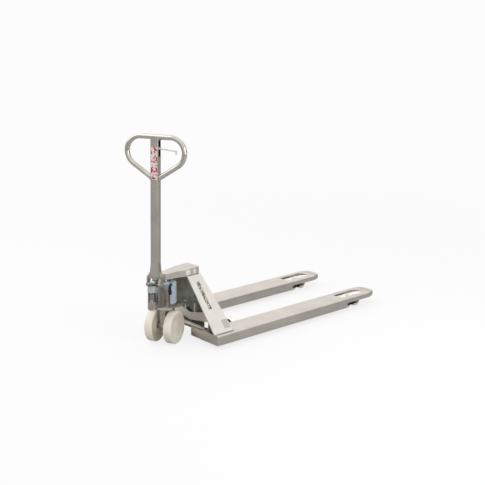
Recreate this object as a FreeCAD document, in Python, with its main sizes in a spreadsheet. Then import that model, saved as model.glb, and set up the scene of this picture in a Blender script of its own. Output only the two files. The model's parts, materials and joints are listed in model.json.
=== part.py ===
import FreeCAD, Part

import math
import os
import re

import Sketcher

# Wide hand pallet truck, lowered, with the steering turned to one side.
# Millimetres. X is across the truck, +Y points to the fork tips, +Z is up and the floor is Z = 0.
# Inside each assembly, lengths are measured from that assembly's own frame, given further down.

DIMENSIONS = {
    # whole truck
    "overall_width": 685.0,
    "fork_width": 160.0,
    "fork_length": 1411.0,
    "fork_top": 85.0,
    "fork_depth": 61.0,
    "sheet_wall": 5.0,
    "bend_radius": 10.0,
    "lift_travel": 115.0,
    # steering axis, ahead of the front ends of the forks
    "steer_ahead": 124.6,
    "steer_angle": 25.9,
    "handle_lean": 2.5,
    # fork tips
    "nose_length": 75.0,
    "nose_width": 100.0,
    "nose_drop": 5.0,
    "nose_rounding": 45.0,
    "flange_cut_length": 306.0,
    "flange_cut_level": 25.0,
    "flange_cut_rise": 31.0,
    "nose_bottom_rise": 29.0,
    "slot_width": 84.0,
    "slot_length": 211.0,
    "slot_to_tip": 95.0,
    "slot_rounding": 34.0,
    "slot_corner": 8.0,
    # chassis frame
    "head_half_width": 56.0,
    "head_bottom": 396.0,
    "head_height": 46.0,
    "head_slope": 12.0,
    "head_back": 92.0,
    "head_wall": 6.0,
    "head_taper_start": 14.0,
    "head_taper_end": 95.0,
    "head_nose_half": 38.0,
    "head_nose_rounding": 35.0,
    "strut_wall": 9.0,
    "strut_foot": 316.0,
    "strut_top_depth": 104.0,
    "strut_foot_depth": 148.0,
    "foot_clearance": 2.5,
    "bulkhead_back": 84.0,
    "bulkhead_wall": 6.0,
    "gate_inner": 108.0,
    "gate_outer": 150.0,
    "gate_top": 152.0,
    "bulkhead_bottom": 30.0,
    "bolt_across": 10.0,
    "bolt_height": 246.0,
    "bolt_washer": 2.0,
    "bolt_radius": 12.0,
    "bolt_head": 9.0,
    "stay_back": 40.0,
    "stay_height": 72.0,
    "stay_radius": 16.0,
    "wing_inner": 87.0,
    "wing_wall": 6.0,
    "wing_bottom": 26.0,
    "wing_top": 82.0,
    "plate_length": 45.0,
    "plate_height": 44.0,
    "plate_wall": 0.8,
    "plate_rise": 20.0,
    # lift bracket, round the pump column
    "ring_radius": 62.0,
    "ring_height": 20.0,
    "neck_inner": 40.0,
    "neck_wall": 12.0,
    "neck_bend": 20.0,
    "cross_plate_back": 62.0,
    "cross_plate_wall": 10.0,
    "cross_plate_half": 178.0,
    "cross_plate_height": 48.0,
    "cross_plate_bottom": 92.0,
    "cross_plate_rise": 26.0,
    "ear_back": 100.0,
    "ear_inner": 116.0,
    "ear_wall": 10.0,
    "ear_radius": 14.0,
    # rocker on the cross shaft
    "rocker_reach": 152.0,
    "rocker_height": 60.0,
    "shaft_radius": 12.0,
    "rocker_tube_radius": 17.0,
    "rocker_arm_wall": 10.0,
    "rocker_arm_gap": 2.0,
    "rocker_hub_radius": 25.0,
    "rocker_eye_wall": 6.0,
    "rocker_pin_radius": 7.0,
    "pin_stand": 2.0,
    "pin_cap": 4.0,
    "slot_play": 1.3,
    "crank_length": 30.0,
    "crank_wall": 6.0,
    "crank_radius": 11.0,
    "link_pin_radius": 6.0,
    "link_play": 1.6,
    # push rods, yokes and load rollers
    "rod_width": 18.0,
    "rod_height": 18.0,
    "rod_eye_radius": 11.0,
    "yoke_to_tip": 351.0,
    "yoke_pivot_height": 42.0,
    "yoke_length": 150.0,
    "yoke_plate_inner": 44.0,
    "yoke_plate_wall": 6.0,
    "yoke_plate_radius": 15.0,
    "yoke_tube_radius": 11.5,
    "yoke_web_start": 14.0,
    "yoke_web_end": 64.0,
    "yoke_web_wall": 8.0,
    "yoke_pin_radius": 8.0,
    "bogie_plate_inner": 36.0,
    "bogie_plate_wall": 6.0,
    "bogie_plate_radius": 15.0,
    "roller_spacing": 82.0,
    "roller_radius": 37.0,
    "roller_width": 70.0,
    "roller_axle_radius": 8.0,
    "roller_edge": 3.0,
    # steer wheels
    "wheel_radius": 100.0,
    "wheel_width": 50.0,
    "wheel_track": 126.0,
    "wheel_trail": 20.0,
    "wheel_edge": 4.0,
    "wheel_dish": 7.0,
    "wheel_rim": 13.0,
    "wheel_hub_radius": 42.0,
    "bearing_radius": 23.5,
    "bearing_width": 13.0,
    "axle_radius": 12.5,
    "spacer_radius": 17.0,
    # pump
    "carrier_half_width": 18.0,
    "carrier_radius": 26.0,
    "collar_bottom": 204.0,
    "collar_height": 8.0,
    "floor_gap": 2.0,
    "collar_radius": 55.0,
    "column_radius": 36.0,
    "washer_height": 1.8,
    "thrust_gap": 0.2,
    "deck_height": 14.0,
    "deck_nose": 12.0,
    "deck_radius": 72.0,
    "tank_radius": 68.0,
    "tank_wall": 5.0,
    "tank_height": 120.0,
    "cap_height": 8.0,
    "cylinder_radius": 27.0,
    "cylinder_floor": 5.0,
    "ram_radius": 17.5,
    "ram_socket": 14.0,
    "gland_radius": 31.0,
    "gland_height": 8.0,
    "plunger_ahead": 171.0,
    "plunger_radius": 12.0,
    "plunger_head_radius": 25.5,
    "plunger_disc_radius": 26.5,
    "disc_wall": 4.0,
    "seat_wall": 3.0,
    "boss_radius": 26.0,
    "boss_height": 66.0,
    "boss_rise": 16.0,
    "boss_floor": 2.0,
    "nose_plate_rise": 22.0,
    "nose_plate_height": 18.0,
    "spring_length": 58.0,
    "spring_coil_radius": 23.0,
    "spring_wire_radius": 2.5,
    "spring_turns": 4.0,
    "lug_inner": 30.0,
    "lug_wall": 9.0,
    "valve_nose": 8.0,
    "valve_gap": 2.0,
    "lug_radius": 16.0,
    "valve_height": 96.0,
    "valve_pivot_drop": 14.0,
    "release_wall": 13.0,
    "release_hub": 11.0,
    # handle
    "tiller_ahead": 132.0,
    "tiller_height": 391.0,
    "tiller_pin_radius": 7.5,
    "plug_height": 5.0,
    "pin_head": 7.0,
    "handle_swing": 75.0,
    "cam_arm": 29.5,
    "cam_angle": 39.6,
    "cam_plate_wall": 6.0,
    "cam_hole_depth": 8.0,
    "cam_plate_radius": 9.0,
    "sleeve_radius": 11.5,
    "cam_radius": 11.0,
    "cam_gap": 0.8,
    "cam_pin_radius": 5.0,
    "cheek_inner": 40.5,
    "cheek_wall": 8.0,
    "saddle_half_width": 50.0,
    "saddle_bottom": 39.0,
    "saddle_wall": 12.0,
    "flare_height": 85.0,
    "flare_waist": 25.0,
    "flare_waist_width": 6.0,
    "shaft_width": 50.0,
    "shaft_depth": 39.0,
    "shaft_wall": 3.0,
    "shaft_corner": 4.0,
    "shaft_offset": 10.5,
    "handle_length": 890.0,
    "loop_tube_radius": 15.0,
    "loop_tube_wall": 2.5,
    "loop_bend_radius": 87.5,
    "loop_half_bar": 98.0,
    "loop_leg_angle": 32.6,
    "lever_height": 808.0,
    "lever_length": 116.0,
    "lever_rod_radius": 3.5,
    "lever_hub_radius": 9.0,
    "lever_hub_wall": 12.0,
    "lever_drop": 10.0,
    "lever_pivot": 16.0,
    "lever_tip": 18.0,
    "housing_depth": 21.0,
    "housing_wall": 2.5,
    "window_half": 13.0,
    "window_height": 48.0,
    "lever_pin_radius": 4.0,
    "label_wall": 0.6,
    "label_length": 190.0,
    "label_drop": 43.0,
    # running clearances
    "running_fit": 0.08,
    "side_play": 0.5,
}

doc = FreeCAD.newDocument("pallet_truck")
dims = doc.addObject("Spreadsheet::Sheet", "dims")
for row, (alias, number) in enumerate(DIMENSIONS.items(), start=1):
    dims.set(f"A{row}", alias)
    dims.set(f"B{row}", str(number))
    dims.setAlias(f"B{row}", alias)
doc.recompute()

ALIAS = re.compile(r"\b(" + "|".join(sorted(DIMENSIONS, key=len, reverse=True)) + r")\b")
NODES = []


# Expressions ---------------------------------------------------------------------------------

def ex(text):
    """The expression with every sheet alias written in full."""
    return ALIAS.sub(r"dims.\1", text)


def value(text):
    """What the expression comes to, in millimetres or degrees."""
    result = dims.evalExpression(ex(text))
    return float(getattr(result, "Value", result))


def bind(item, **sizes):
    """Tie each named property of the object to its expression."""
    for name, text in sizes.items():
        item.setExpression(name, ex(text))
    return item


def put(item, x, y, z):
    """Tie the base of the object's placement to three expressions."""
    for axis, text in zip("xyz", (x, y, z)):
        item.setExpression(f"Placement.Base.{axis}", ex(text))
    return item


# Shapes --------------------------------------------------------------------------------------

TURN = {
    "x": FreeCAD.Rotation(FreeCAD.Vector(0, 1, 0), 90),
    "y": FreeCAD.Rotation(FreeCAD.Vector(1, 0, 0), -90),
    "z": FreeCAD.Rotation(),
}


def box(x_span, y_span, z_span):
    """A block between two expressions along each axis."""
    item = doc.addObject("Part::Box", "block")
    spans = zip(("Length", "Width", "Height"), (x_span, y_span, z_span))
    bind(item, **{name: f"({high}) - ({low})" for name, (low, high) in spans})
    return put(item, x_span[0], y_span[0], z_span[0])


def along(axis, low, across):
    """A point from its value along one axis and its two values across it, in order."""
    first, second = across
    return {"x": (low, first, second), "y": (first, low, second), "z": (first, second, low)}[axis]


def cylinder(axis, radius, span, across=("0", "0")):
    """A round bar along an axis."""
    item = doc.addObject("Part::Cylinder", "bar")
    item.Placement = FreeCAD.Placement(FreeCAD.Vector(), TURN[axis])
    bind(item, Radius=radius, Height=f"({span[1]}) - ({span[0]})")
    return put(item, *along(axis, span[0], across))


def hexagon(axis, corner_radius, span, across=("0", "0")):
    """A six-sided bar along an axis."""
    item = doc.addObject("Part::Prism", "hexagon")
    item.Polygon = 6
    item.Placement = FreeCAD.Placement(FreeCAD.Vector(), TURN[axis])
    bind(item, Circumradius=corner_radius, Height=f"({span[1]}) - ({span[0]})")
    return put(item, *along(axis, span[0], across))


def fuse(*items):
    """The union of several solids."""
    item = doc.addObject("Part::MultiFuse", "union")
    item.Shapes = list(items)
    item.Refine = True
    return item


def cut(base, *tools):
    """The base with every tool taken away."""
    item = doc.addObject("Part::Cut", "cut")
    item.Base = base
    item.Tool = tools[0] if len(tools) == 1 else fuse(*tools)
    return item


def common(first, second):
    """What two solids share."""
    item = doc.addObject("Part::Common", "common")
    item.Base = first
    item.Tool = second
    return item


def ring(axis, outer, inner, span, across=("0", "0")):
    """A round bar with a round bore."""
    return cut(cylinder(axis, outer, span, across), cylinder(axis, inner, span, across))


def outline(body, role, points, offset):
    """A closed sketch of straight lines on one of the body's origin planes."""
    sketch = body.newObject("Sketcher::SketchObject", "outline")
    plane = [feature for feature in body.Origin.OriginFeatures if feature.Role == role][0]
    sketch.AttachmentSupport = (plane, [""])
    sketch.MapMode = "FlatFace"
    sketch.setExpression("AttachmentOffset.Base.z", ex(offset))
    corners = [FreeCAD.Vector(value(u), value(v), 0) for u, v in points]
    count = len(points)
    for index in range(count):
        sketch.addGeometry(Part.LineSegment(corners[index], corners[(index + 1) % count]), False)
    for index in range(count):
        sketch.addConstraint(Sketcher.Constraint("Coincident", index, 2, (index + 1) % count, 1))
    for index, (point, corner) in enumerate(zip(points, corners)):
        for kind, text, number in zip(("DistanceX", "DistanceY"), point, corner):
            size = sketch.addConstraint(Sketcher.Constraint(kind, -1, 1, index, 1, number))
            sketch.setExpression(f"Constraints[{size}]", ex(text))
    return sketch


def prism(role, points, span):
    """A plate: a straight-sided outline on a plane, padded between two heights.

    XY_Plane takes (x, y) points, XZ_Plane (x, z) points and YZ_Plane (y, z) points.
    """
    body = doc.addObject("PartDesign::Body", "plate")
    sketch = outline(body, role, points, f"-({span[1]})" if role == "XZ_Plane" else span[0])
    pad = body.newObject("PartDesign::Pad", "pad")
    pad.Profile = sketch
    pad.setExpression("Length", ex(f"({span[1]}) - ({span[0]})"))
    return body


def turned(points):
    """A turned piece about the X axis, from its (x, radius) outline."""
    body = doc.addObject("PartDesign::Body", "turned")
    sketch = outline(body, "XZ_Plane", points, "0")
    revolution = body.newObject("PartDesign::Revolution", "revolution")
    revolution.Profile = sketch
    revolution.ReferenceAxis = (sketch, ["H_Axis"])
    revolution.Angle = 360.0
    return body


def rounded(body, radius, wanted):
    """Round the edges of a body whose middle point and direction are wanted."""
    doc.recompute()
    base = body.Tip
    names = []
    for index, edge in enumerate(base.Shape.Edges, start=1):
        middle = edge.valueAt((edge.FirstParameter + edge.LastParameter) / 2)
        if wanted(middle, edge):
            names.append(f"Edge{index}")
    fillet = body.newObject("PartDesign::Fillet", "rounding")
    fillet.Base = (base, names)
    fillet.setExpression("Radius", ex(radius))
    body.Tip = fillet
    return body


def upright(edge):
    """Whether a straight edge runs along Z."""
    first, last = edge.Vertexes[0].Point, edge.Vertexes[-1].Point
    length = first.distanceToPoint(last)
    return length > 0 and abs(abs(last.z - first.z) - length) < 1e-6


def side(sign, low, high):
    """A span across the truck on one side: (low, high) to the right, mirrored to the left."""
    return (low, high) if sign > 0 else (f"-({high})", f"-({low})")


def node(name, frame, *items):
    """One named sub-part, made of one or more solids, in the frame of its assembly."""
    item = doc.addObject("Part::Compound", name)
    item.Label = name
    item.Links = list(items)
    item.Placement = frame
    NODES.append(item)
    return item


# Frames --------------------------------------------------------------------------------------

def shift(x, y, z):
    """A placement that only moves."""
    return FreeCAD.Placement(FreeCAD.Vector(x, y, z), FreeCAD.Rotation())


def spin(axis, angle):
    """A placement that only turns about an axis through its origin."""
    return FreeCAD.Placement(FreeCAD.Vector(), FreeCAD.Rotation(axis, angle))


X_AXIS = FreeCAD.Vector(1, 0, 0)
Z_AXIS = FreeCAD.Vector(0, 0, 1)

# The foremost point of the truck is the rim of the pump plunger's disc.
FOREMOST = "steer_ahead + plunger_ahead * cos(steer_angle) + plunger_disc_radius"
MIDDLE_Y = value(f"(fork_length - ({FOREMOST})) / 2")
FORK_X = "(overall_width - fork_width) / 2"

# The truck frame has Y = 0 at the front ends of the forks.
TRUCK = shift(0, -MIDDLE_Y, 0)
FORK = {sign: TRUCK * shift(sign * value(FORK_X), 0, 0) for sign in (1, -1)}
# The bracket frame is on the steering axis and doesn't turn; the pump frame turns with the wheels.
BRACKET = TRUCK * shift(0, -value("steer_ahead"), 0)
PUMP = BRACKET * spin(Z_AXIS, value("steer_angle"))
# The handle frame is on the tiller pin, along the leaning handle.
HINGE = shift(0, -value("tiller_ahead"), value("tiller_height"))
HANDLE = PUMP * HINGE * spin(X_AXIS, -value("handle_lean"))

SIDES = {1: "right", -1: "left"}

# The rocker's arms lie level half way up the lift, which sets the height of its forward pins.
EAR_HEIGHT = "(rocker_height + lift_travel / 2)"


STRUT_RISE = "(head_bottom - fork_top)"
STRUT_RUN = "(strut_foot - head_half_width)"
STRUT_ACROSS = f"(strut_wall * sqrt({STRUT_RISE}^2 + {STRUT_RUN}^2) / {STRUT_RISE})"
SHEET_TOP = "(fork_top - sheet_wall)"


def strut_face(height):
    """The X of the outer face of a strut at a height."""
    return f"(head_half_width + (head_bottom - {height}) * {STRUT_RUN} / {STRUT_RISE})"


# Forks ---------------------------------------------------------------------------------------

FORK_BOTTOM = "(fork_top - fork_depth)"
FORK_HALF = "(fork_width / 2)"
FORK_INNER = "(overall_width / 2 - fork_width)"
CHANNEL_HALF = "(fork_width / 2 - sheet_wall)"
SHAFT_BACK = "(ear_back + rocker_reach)"
YOKE_BACK = "(fork_length - yoke_to_tip)"


def fork_block(inset):
    """The outer block of a fork, or with an inset of one wall, its inner space."""
    half = f"(fork_width / 2 - {inset})"
    nose_half = f"(nose_width / 2 - {inset})"
    length = f"(fork_length - {inset})"
    top = f"(fork_top - {inset})"
    taper = "(fork_length - nose_length)"
    plan = [(f"-{half}", f"-{inset}"), (half, f"-{inset}"), (half, taper),
            (nose_half, length), (f"-{nose_half}", length), (f"-{half}", taper)]
    block = prism("XY_Plane", plan, (f"{FORK_BOTTOM} - {inset}", top))
    back = value(f"{taper} - 1")
    rounded(block, f"nose_rounding - {inset}", lambda middle, edge: upright(edge) and middle.y > back)
    level = value(top) - 1e-3
    front = 1e-3 - value(inset)
    rounded(block, f"bend_radius - {inset}", lambda middle, edge: middle.z > level and middle.y > front)
    drop = prism("YZ_Plane",
                 [(taper, top), (length, f"{top} - nose_drop"),
                  (f"{length} + 1", f"{top} - nose_drop"), (f"{length} + 1", f"{top} + 1"),
                  (taper, f"{top} + 1")],
                 (f"-{half} - 1", f"{half} + 1"))
    return cut(block, drop)


def fork(sign):
    """A folded channel, open below, with a shaped tip and a slot over its load rollers."""
    across = (f"-{FORK_HALF} - 1", f"{FORK_HALF} + 1")
    step = f"({FORK_BOTTOM} + flange_cut_rise)"
    nose = f"({FORK_BOTTOM} + nose_bottom_rise)"
    below = f"{FORK_BOTTOM} - 1"
    first = "(fork_length - flange_cut_length)"
    tip_cut = prism("YZ_Plane",
                    [(first, below), ("fork_length + 1", below), ("fork_length + 1", nose),
                     (f"{first} + flange_cut_level", step)], across)
    slot_end = "(fork_length - slot_to_tip)"
    slot_start = f"({slot_end} - slot_length)"
    slot = prism("XY_Plane",
                 [("-slot_width / 2", slot_start), ("slot_width / 2", slot_start),
                  ("slot_width / 2", slot_end), ("-slot_width / 2", slot_end)],
                 ("fork_top - 2 * sheet_wall", "fork_top + 1"))
    middle_y = value(f"{slot_end} - slot_length / 2")
    rounded(slot, "slot_rounding", lambda middle, edge: upright(edge) and middle.y > middle_y)
    rounded(slot, "slot_corner",
            lambda middle, edge: upright(edge) and abs(middle.y - value(slot_start)) < 1e-3)
    shaft_hole = cylinder("x", "rocker_tube_radius + 1",
                          side(-sign, "fork_width / 2 - sheet_wall - 1", "fork_width / 2 + 1"),
                          (SHAFT_BACK, "rocker_height"))
    foot_slot = box(side(sign, f"{strut_face('(fork_top + foot_clearance)')} - {STRUT_ACROSS} - {FORK_X}",
                         f"{strut_face(SHEET_TOP)} - {FORK_X}"),
                    ("-1", "strut_foot_depth"), (SHEET_TOP, "fork_top + 1"))
    channel = cut(fork_block("0"), fork_block("sheet_wall"), tip_cut, slot, foot_slot, shaft_hole)
    node(f"fork_{SIDES[sign]}", FORK[sign], channel)


def end_plates():
    """The plates that close the front ends of the two forks."""
    plates = []
    for sign in SIDES:
        inner = f"{sign} * {FORK_X} - {CHANNEL_HALF}"
        outer = f"{sign} * {FORK_X} + {CHANNEL_HALF}"
        corner = "(bend_radius - sheet_wall)"
        plates.append(prism("XZ_Plane",
                            [(inner, FORK_BOTTOM), (outer, FORK_BOTTOM),
                             (outer, f"{SHEET_TOP} - {corner}"), (f"{outer} - {corner}", SHEET_TOP),
                             (f"{inner} + {corner}", SHEET_TOP), (inner, f"{SHEET_TOP} - {corner}")],
                            ("0", "sheet_wall")))
    node("end_plates", TRUCK, *plates)


for sign in SIDES:
    fork(sign)
end_plates()


# Chassis frame -------------------------------------------------------------------------------

def strut(sign):
    """A flat leaning plate from the head down through a slot in the top of a fork."""
    outline_points = [(f"{sign} * ({strut_face(SHEET_TOP)} - {STRUT_ACROSS})", SHEET_TOP),
                      (f"{sign} * {strut_face(SHEET_TOP)}", SHEET_TOP),
                      (f"{sign} * head_half_width", "head_bottom"),
                      (f"{sign} * (head_half_width - {STRUT_ACROSS})", "head_bottom")]
    plate = prism("XZ_Plane", outline_points, ("0", "strut_foot_depth"))
    trim = prism("YZ_Plane",
                 [("strut_foot_depth", "fork_top"), ("strut_foot_depth + 1", "fork_top"),
                  ("strut_foot_depth + 1", "head_bottom"), ("strut_top_depth", "head_bottom")],
                 side(sign, "0", "strut_foot + strut_wall"))
    node(f"strut_{SIDES[sign]}", TRUCK, cut(plate, trim))


def head_space(inset):
    """The outer block of the head, or with an inset of one wall, its inner space."""
    half = f"(head_half_width - {inset})"
    nose = f"(head_nose_half - {inset})"
    front = f"(0 - steer_ahead - head_nose_half + {inset})"
    back = f"(head_back - {inset})"
    plan = [(f"-{half}", back), (f"-{half}", "-head_taper_start"), (f"-{nose}", "-head_taper_end"),
            (f"-{nose}", front), (nose, front), (nose, "-head_taper_end"),
            (half, "-head_taper_start"), (half, back)]
    block = prism("XY_Plane", plan, (f"head_bottom - {inset}", f"head_bottom + head_height - {inset}"))
    near = value(front) + 1
    rounded(block, f"head_nose_rounding - {inset}",
            lambda middle, edge: upright(edge) and middle.y < near)
    top = f"(head_bottom + head_height - {inset})"
    level = "(steer_ahead + head_nose_half)"
    slope = prism("YZ_Plane",
                  [("head_back", top), ("head_back", f"{top} + 1"), (f"-{level} - 1", f"{top} + 1"),
                   (f"-{level} - 1", f"{top} - head_slope"), (f"-{level}", f"{top} - head_slope")],
                  (f"-{half} - 1", f"{half} + 1"))
    return cut(block, slope)


def head():
    """The folded head box and the block in its nose that takes the ram."""
    node("head_box", TRUCK, cut(head_space("0"), head_space("head_wall")))
    seat = cylinder("z", "head_nose_half - head_wall - 1", ("head_bottom", "head_bottom + head_height"),
                    ("0", "-steer_ahead"))
    socket = cylinder("z", "ram_radius", ("head_bottom - 1", "head_bottom + ram_socket"),
                      ("0", "-steer_ahead"))
    node("ram_seat", TRUCK, cut(common(seat, head_space("head_wall")), socket))


def bulkhead():
    """The plate between the struts and the forks, with two gates for the rocker, and its bolt."""
    ledge = "(fork_top + foot_clearance)"
    foot = f"({strut_face(ledge)} - {STRUT_ACROSS})"
    high = f"(head_half_width - {STRUT_ACROSS})"
    low = "bulkhead_bottom"
    right = [("gate_inner", low), ("gate_inner", "gate_top"), ("gate_outer", "gate_top"),
             ("gate_outer", low), (FORK_INNER, low), (FORK_INNER, ledge), (foot, ledge),
             (high, "head_bottom")]
    left = [(f"-{x}", z) for x, z in reversed(right)]
    node("bulkhead", TRUCK,
         prism("XZ_Plane", right + left, ("bulkhead_back", "(bulkhead_back + bulkhead_wall)")))
    across = ("bolt_across", "bolt_height")
    washer_front = "(bulkhead_back - bolt_washer)"
    node("bulkhead_bolt", TRUCK,
         fuse(cylinder("y", "bolt_radius", (washer_front, "bulkhead_back"), across),
              hexagon("y", "bolt_radius * 0.8", (f"{washer_front} - bolt_head", washer_front), across)))


def low_frame():
    """The round stay and the two wing plates between the inner flanges of the forks."""
    node("cross_stay", TRUCK,
         cylinder("x", "stay_radius", (f"-{FORK_INNER}", FORK_INNER), ("stay_back", "stay_height")))
    wings = [box(side(sign, "wing_inner", FORK_INNER), ("0", "wing_wall"), ("wing_bottom", "wing_top"))
             for sign in SIDES]
    node("wing_plates", TRUCK, *wings)
    reach = f"({FORK_X} + {CHANNEL_HALF})"
    node("cross_shaft", TRUCK,
         cylinder("x", "shaft_radius", (f"-{reach}", reach), (SHAFT_BACK, "rocker_height")))
    pins = [cylinder("x", "yoke_pin_radius",
                     (f"{sign} * {FORK_X} - {CHANNEL_HALF}", f"{sign} * {FORK_X} + {CHANNEL_HALF}"),
                     (YOKE_BACK, "yoke_pivot_height")) for sign in SIDES]
    node("yoke_pivot_pins", TRUCK, *pins)


def rating_plate():
    """A blank plate on the outer face of the right strut."""
    low = "(fork_top + plate_rise)"
    high = f"({low} + plate_height)"
    slant = f"sqrt({STRUT_RISE}^2 + {STRUT_RUN}^2)"
    out_x = f"(plate_wall * {STRUT_RISE} / {slant})"
    out_z = f"(plate_wall * {STRUT_RUN} / {slant})"
    near = "(strut_top_depth - plate_length / 4)"
    points = [(strut_face(low), low), (f"{strut_face(low)} + {out_x}", f"{low} + {out_z}"),
              (f"{strut_face(high)} + {out_x}", f"{high} + {out_z}"), (strut_face(high), high)]
    node("rating_plate", TRUCK, prism("XZ_Plane", points, (near, f"{near} + plate_length")))


for sign in SIDES:
    strut(sign)
head()
bulkhead()
low_frame()
rating_plate()


# Lift bracket --------------------------------------------------------------------------------

COLLAR_TOP = "(collar_bottom + collar_height)"
RING_BOTTOM = f"({COLLAR_TOP} + washer_height + thrust_gap)"
RING_TOP = f"({RING_BOTTOM} + ring_height)"
DECK_BOTTOM = f"({RING_TOP} + thrust_gap)"
DECK_TOP = f"({DECK_BOTTOM} + deck_height)"


def lift_bracket():
    """A ring on the pump column, two necks over the wheels and the cross plate behind them."""
    near = "(cross_plate_back + steer_ahead)"
    far = f"({near} + cross_plate_wall)"
    root = "(cross_plate_bottom + cross_plate_height / 2)"
    solids = [cylinder("z", "ring_radius", (RING_BOTTOM, RING_TOP))]
    for sign in SIDES:
        solids.append(prism("YZ_Plane",
                            [("ring_radius / 3", RING_BOTTOM), ("ring_radius / 3", RING_TOP),
                             (f"{far} - neck_bend", RING_TOP), (far, f"{RING_TOP} - neck_bend"),
                             (far, root), (near, root),
                             (near, f"{RING_BOTTOM} - neck_bend / 4"),
                             (f"{near} - neck_bend / 4", RING_BOTTOM)],
                            side(sign, "neck_inner", "neck_inner + neck_wall")))
        ear = side(sign, "ear_inner", "ear_inner + ear_wall")
        pin = ("ear_back + steer_ahead", EAR_HEIGHT)
        solids.append(box(ear, (far, pin[0]),
                          (f"{EAR_HEIGHT} - ear_radius", f"{EAR_HEIGHT} + ear_radius")))
        solids.append(cylinder("x", "ear_radius", ear, pin))
    half = "cross_plate_half"
    high = "(cross_plate_bottom + cross_plate_rise)"
    shoulder = "ear_inner"
    top = "(cross_plate_bottom + cross_plate_height)"
    solids.append(prism("XZ_Plane",
                        [("0", "cross_plate_bottom"), (half, high),
                         (half, f"{high} + cross_plate_height"),
                         (shoulder, f"{high} + cross_plate_height"), ("0", top),
                         (f"-{shoulder}", f"{high} + cross_plate_height"),
                         (f"-{half}", f"{high} + cross_plate_height"), (f"-{half}", high)],
                        (near, far)))
    bore = cylinder("z", "column_radius + running_fit", (f"{RING_BOTTOM} - 1", f"{RING_TOP} + 1"))
    reach = "ear_inner + 2 * ear_wall + rocker_arm_gap + rocker_arm_wall"
    holes = cylinder("x", "rocker_pin_radius", (f"-({reach})", reach),
                     ("ear_back + steer_ahead", EAR_HEIGHT))
    node("lift_bracket", BRACKET, cut(fuse(*solids), bore, holes))
    outer = "ear_inner + ear_wall + rocker_arm_gap + rocker_arm_wall"
    pins = [fuse(cylinder("x", "rocker_pin_radius",
                          side(sign, "ear_inner - pin_stand", f"{outer} + pin_stand"),
                          ("ear_back + steer_ahead", EAR_HEIGHT)),
                 cylinder("x", "rocker_pin_radius + pin_cap",
                          side(sign, f"{outer} + pin_stand", f"{outer} + pin_stand + pin_cap"),
                          ("ear_back + steer_ahead", EAR_HEIGHT))) for sign in SIDES]
    node("bracket_pins", BRACKET, *pins)


lift_bracket()


# Rocker --------------------------------------------------------------------------------------

# The rocker frame is on the cross shaft, turned so that the arms lie along -Y half way up the lift.
ROCKER_HALF_SWING = value("atan(lift_travel / 2 / rocker_reach)")
ROCKER = TRUCK * shift(0, value(SHAFT_BACK), value("rocker_height")) * spin(X_AXIS, -ROCKER_HALF_SWING)


def rocker():
    """The tube on the cross shaft with two long arms forward and a short crank in each fork."""
    reach = f"({FORK_X} + rod_width / 2 + side_play + crank_wall)"
    solids = [cylinder("x", "rocker_tube_radius", (f"-{reach}", reach))]
    tools = [cylinder("x", "shaft_radius + running_fit", (f"-{reach} - 1", f"{reach} + 1"))]
    longest = "sqrt(rocker_reach^2 + (lift_travel / 2)^2)"
    slot_half = "(rocker_pin_radius + slot_play)"
    eye = f"({slot_half} + rocker_eye_wall)"
    for sign in SIDES:
        across = side(sign, "ear_inner + ear_wall + rocker_arm_gap",
                      "ear_inner + ear_wall + rocker_arm_gap + rocker_arm_wall")
        wide = side(sign, "ear_inner", "ear_inner + 3 * ear_wall + rocker_arm_wall")
        solids.append(cylinder("x", "rocker_hub_radius", across))
        solids.append(prism("YZ_Plane",
                            [("0", "-rocker_hub_radius"), ("0", "rocker_hub_radius"),
                             (f"-{longest}", eye), (f"-{longest}", f"-{eye}")], across))
        solids.append(cylinder("x", eye, across, (f"-{longest}", "0")))
        tools.append(box(wide, (f"-{longest}", "-rocker_reach"), (f"-{slot_half}", slot_half)))
        tools.append(cylinder("x", slot_half, wide, (f"-{longest}", "0")))
        tools.append(cylinder("x", slot_half, wide, ("-rocker_reach", "0")))
        for hand in SIDES:
            plate = side(hand, "rod_width / 2 + side_play", "rod_width / 2 + side_play + crank_wall")
            crank = [f"{sign} * {FORK_X} + {edge}" for edge in plate]
            solids.append(prism("YZ_Plane",
                                [("-rocker_tube_radius", "0"), ("-crank_radius", "-crank_length"),
                                 ("crank_radius", "-crank_length"), ("rocker_tube_radius", "0")],
                                crank))
            solids.append(cylinder("x", "crank_radius", crank, ("0", "-crank_length")))
            tools.append(cylinder("x", "link_pin_radius", crank, ("0", "-crank_length")))
    node("rocker", ROCKER, cut(fuse(*solids), *tools))
    pin_half = "(rod_width / 2 + side_play + crank_wall)"
    pins = [cylinder("x", "link_pin_radius",
                     (f"{sign} * {FORK_X} - {pin_half}", f"{sign} * {FORK_X} + {pin_half}"),
                     ("0", "-crank_length")) for sign in SIDES]
    node("crank_pins", ROCKER, *pins)


rocker()


# Yokes, bogies and load rollers ---------------------------------------------------------------

# The yoke frame is on the pivot pin, turned so that the lever stands upright half way up the lift.
ROLLER_DROP = "(yoke_pivot_height - roller_radius)"
YOKE_REST = f"asin({ROLLER_DROP} / yoke_length)"
YOKE_SWING = f"(asin(({ROLLER_DROP} + lift_travel) / yoke_length) - {YOKE_REST})"
YOKE_HALF_SWING = value(f"{YOKE_SWING} / 2")
YOKE_LEVER = f"(crank_length * sin(atan(lift_travel / 2 / rocker_reach)) / sin({YOKE_SWING} / 2))"
YOKE_ARM_ANGLE = f"({YOKE_REST} + {YOKE_SWING} / 2)"
AXLE_Y = f"(yoke_length * cos({YOKE_ARM_ANGLE}))"
AXLE_Z = f"(0 - yoke_length * sin({YOKE_ARM_ANGLE}))"
BOGIE_BACK = f"({YOKE_BACK} + yoke_length * cos({YOKE_REST}))"


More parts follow.
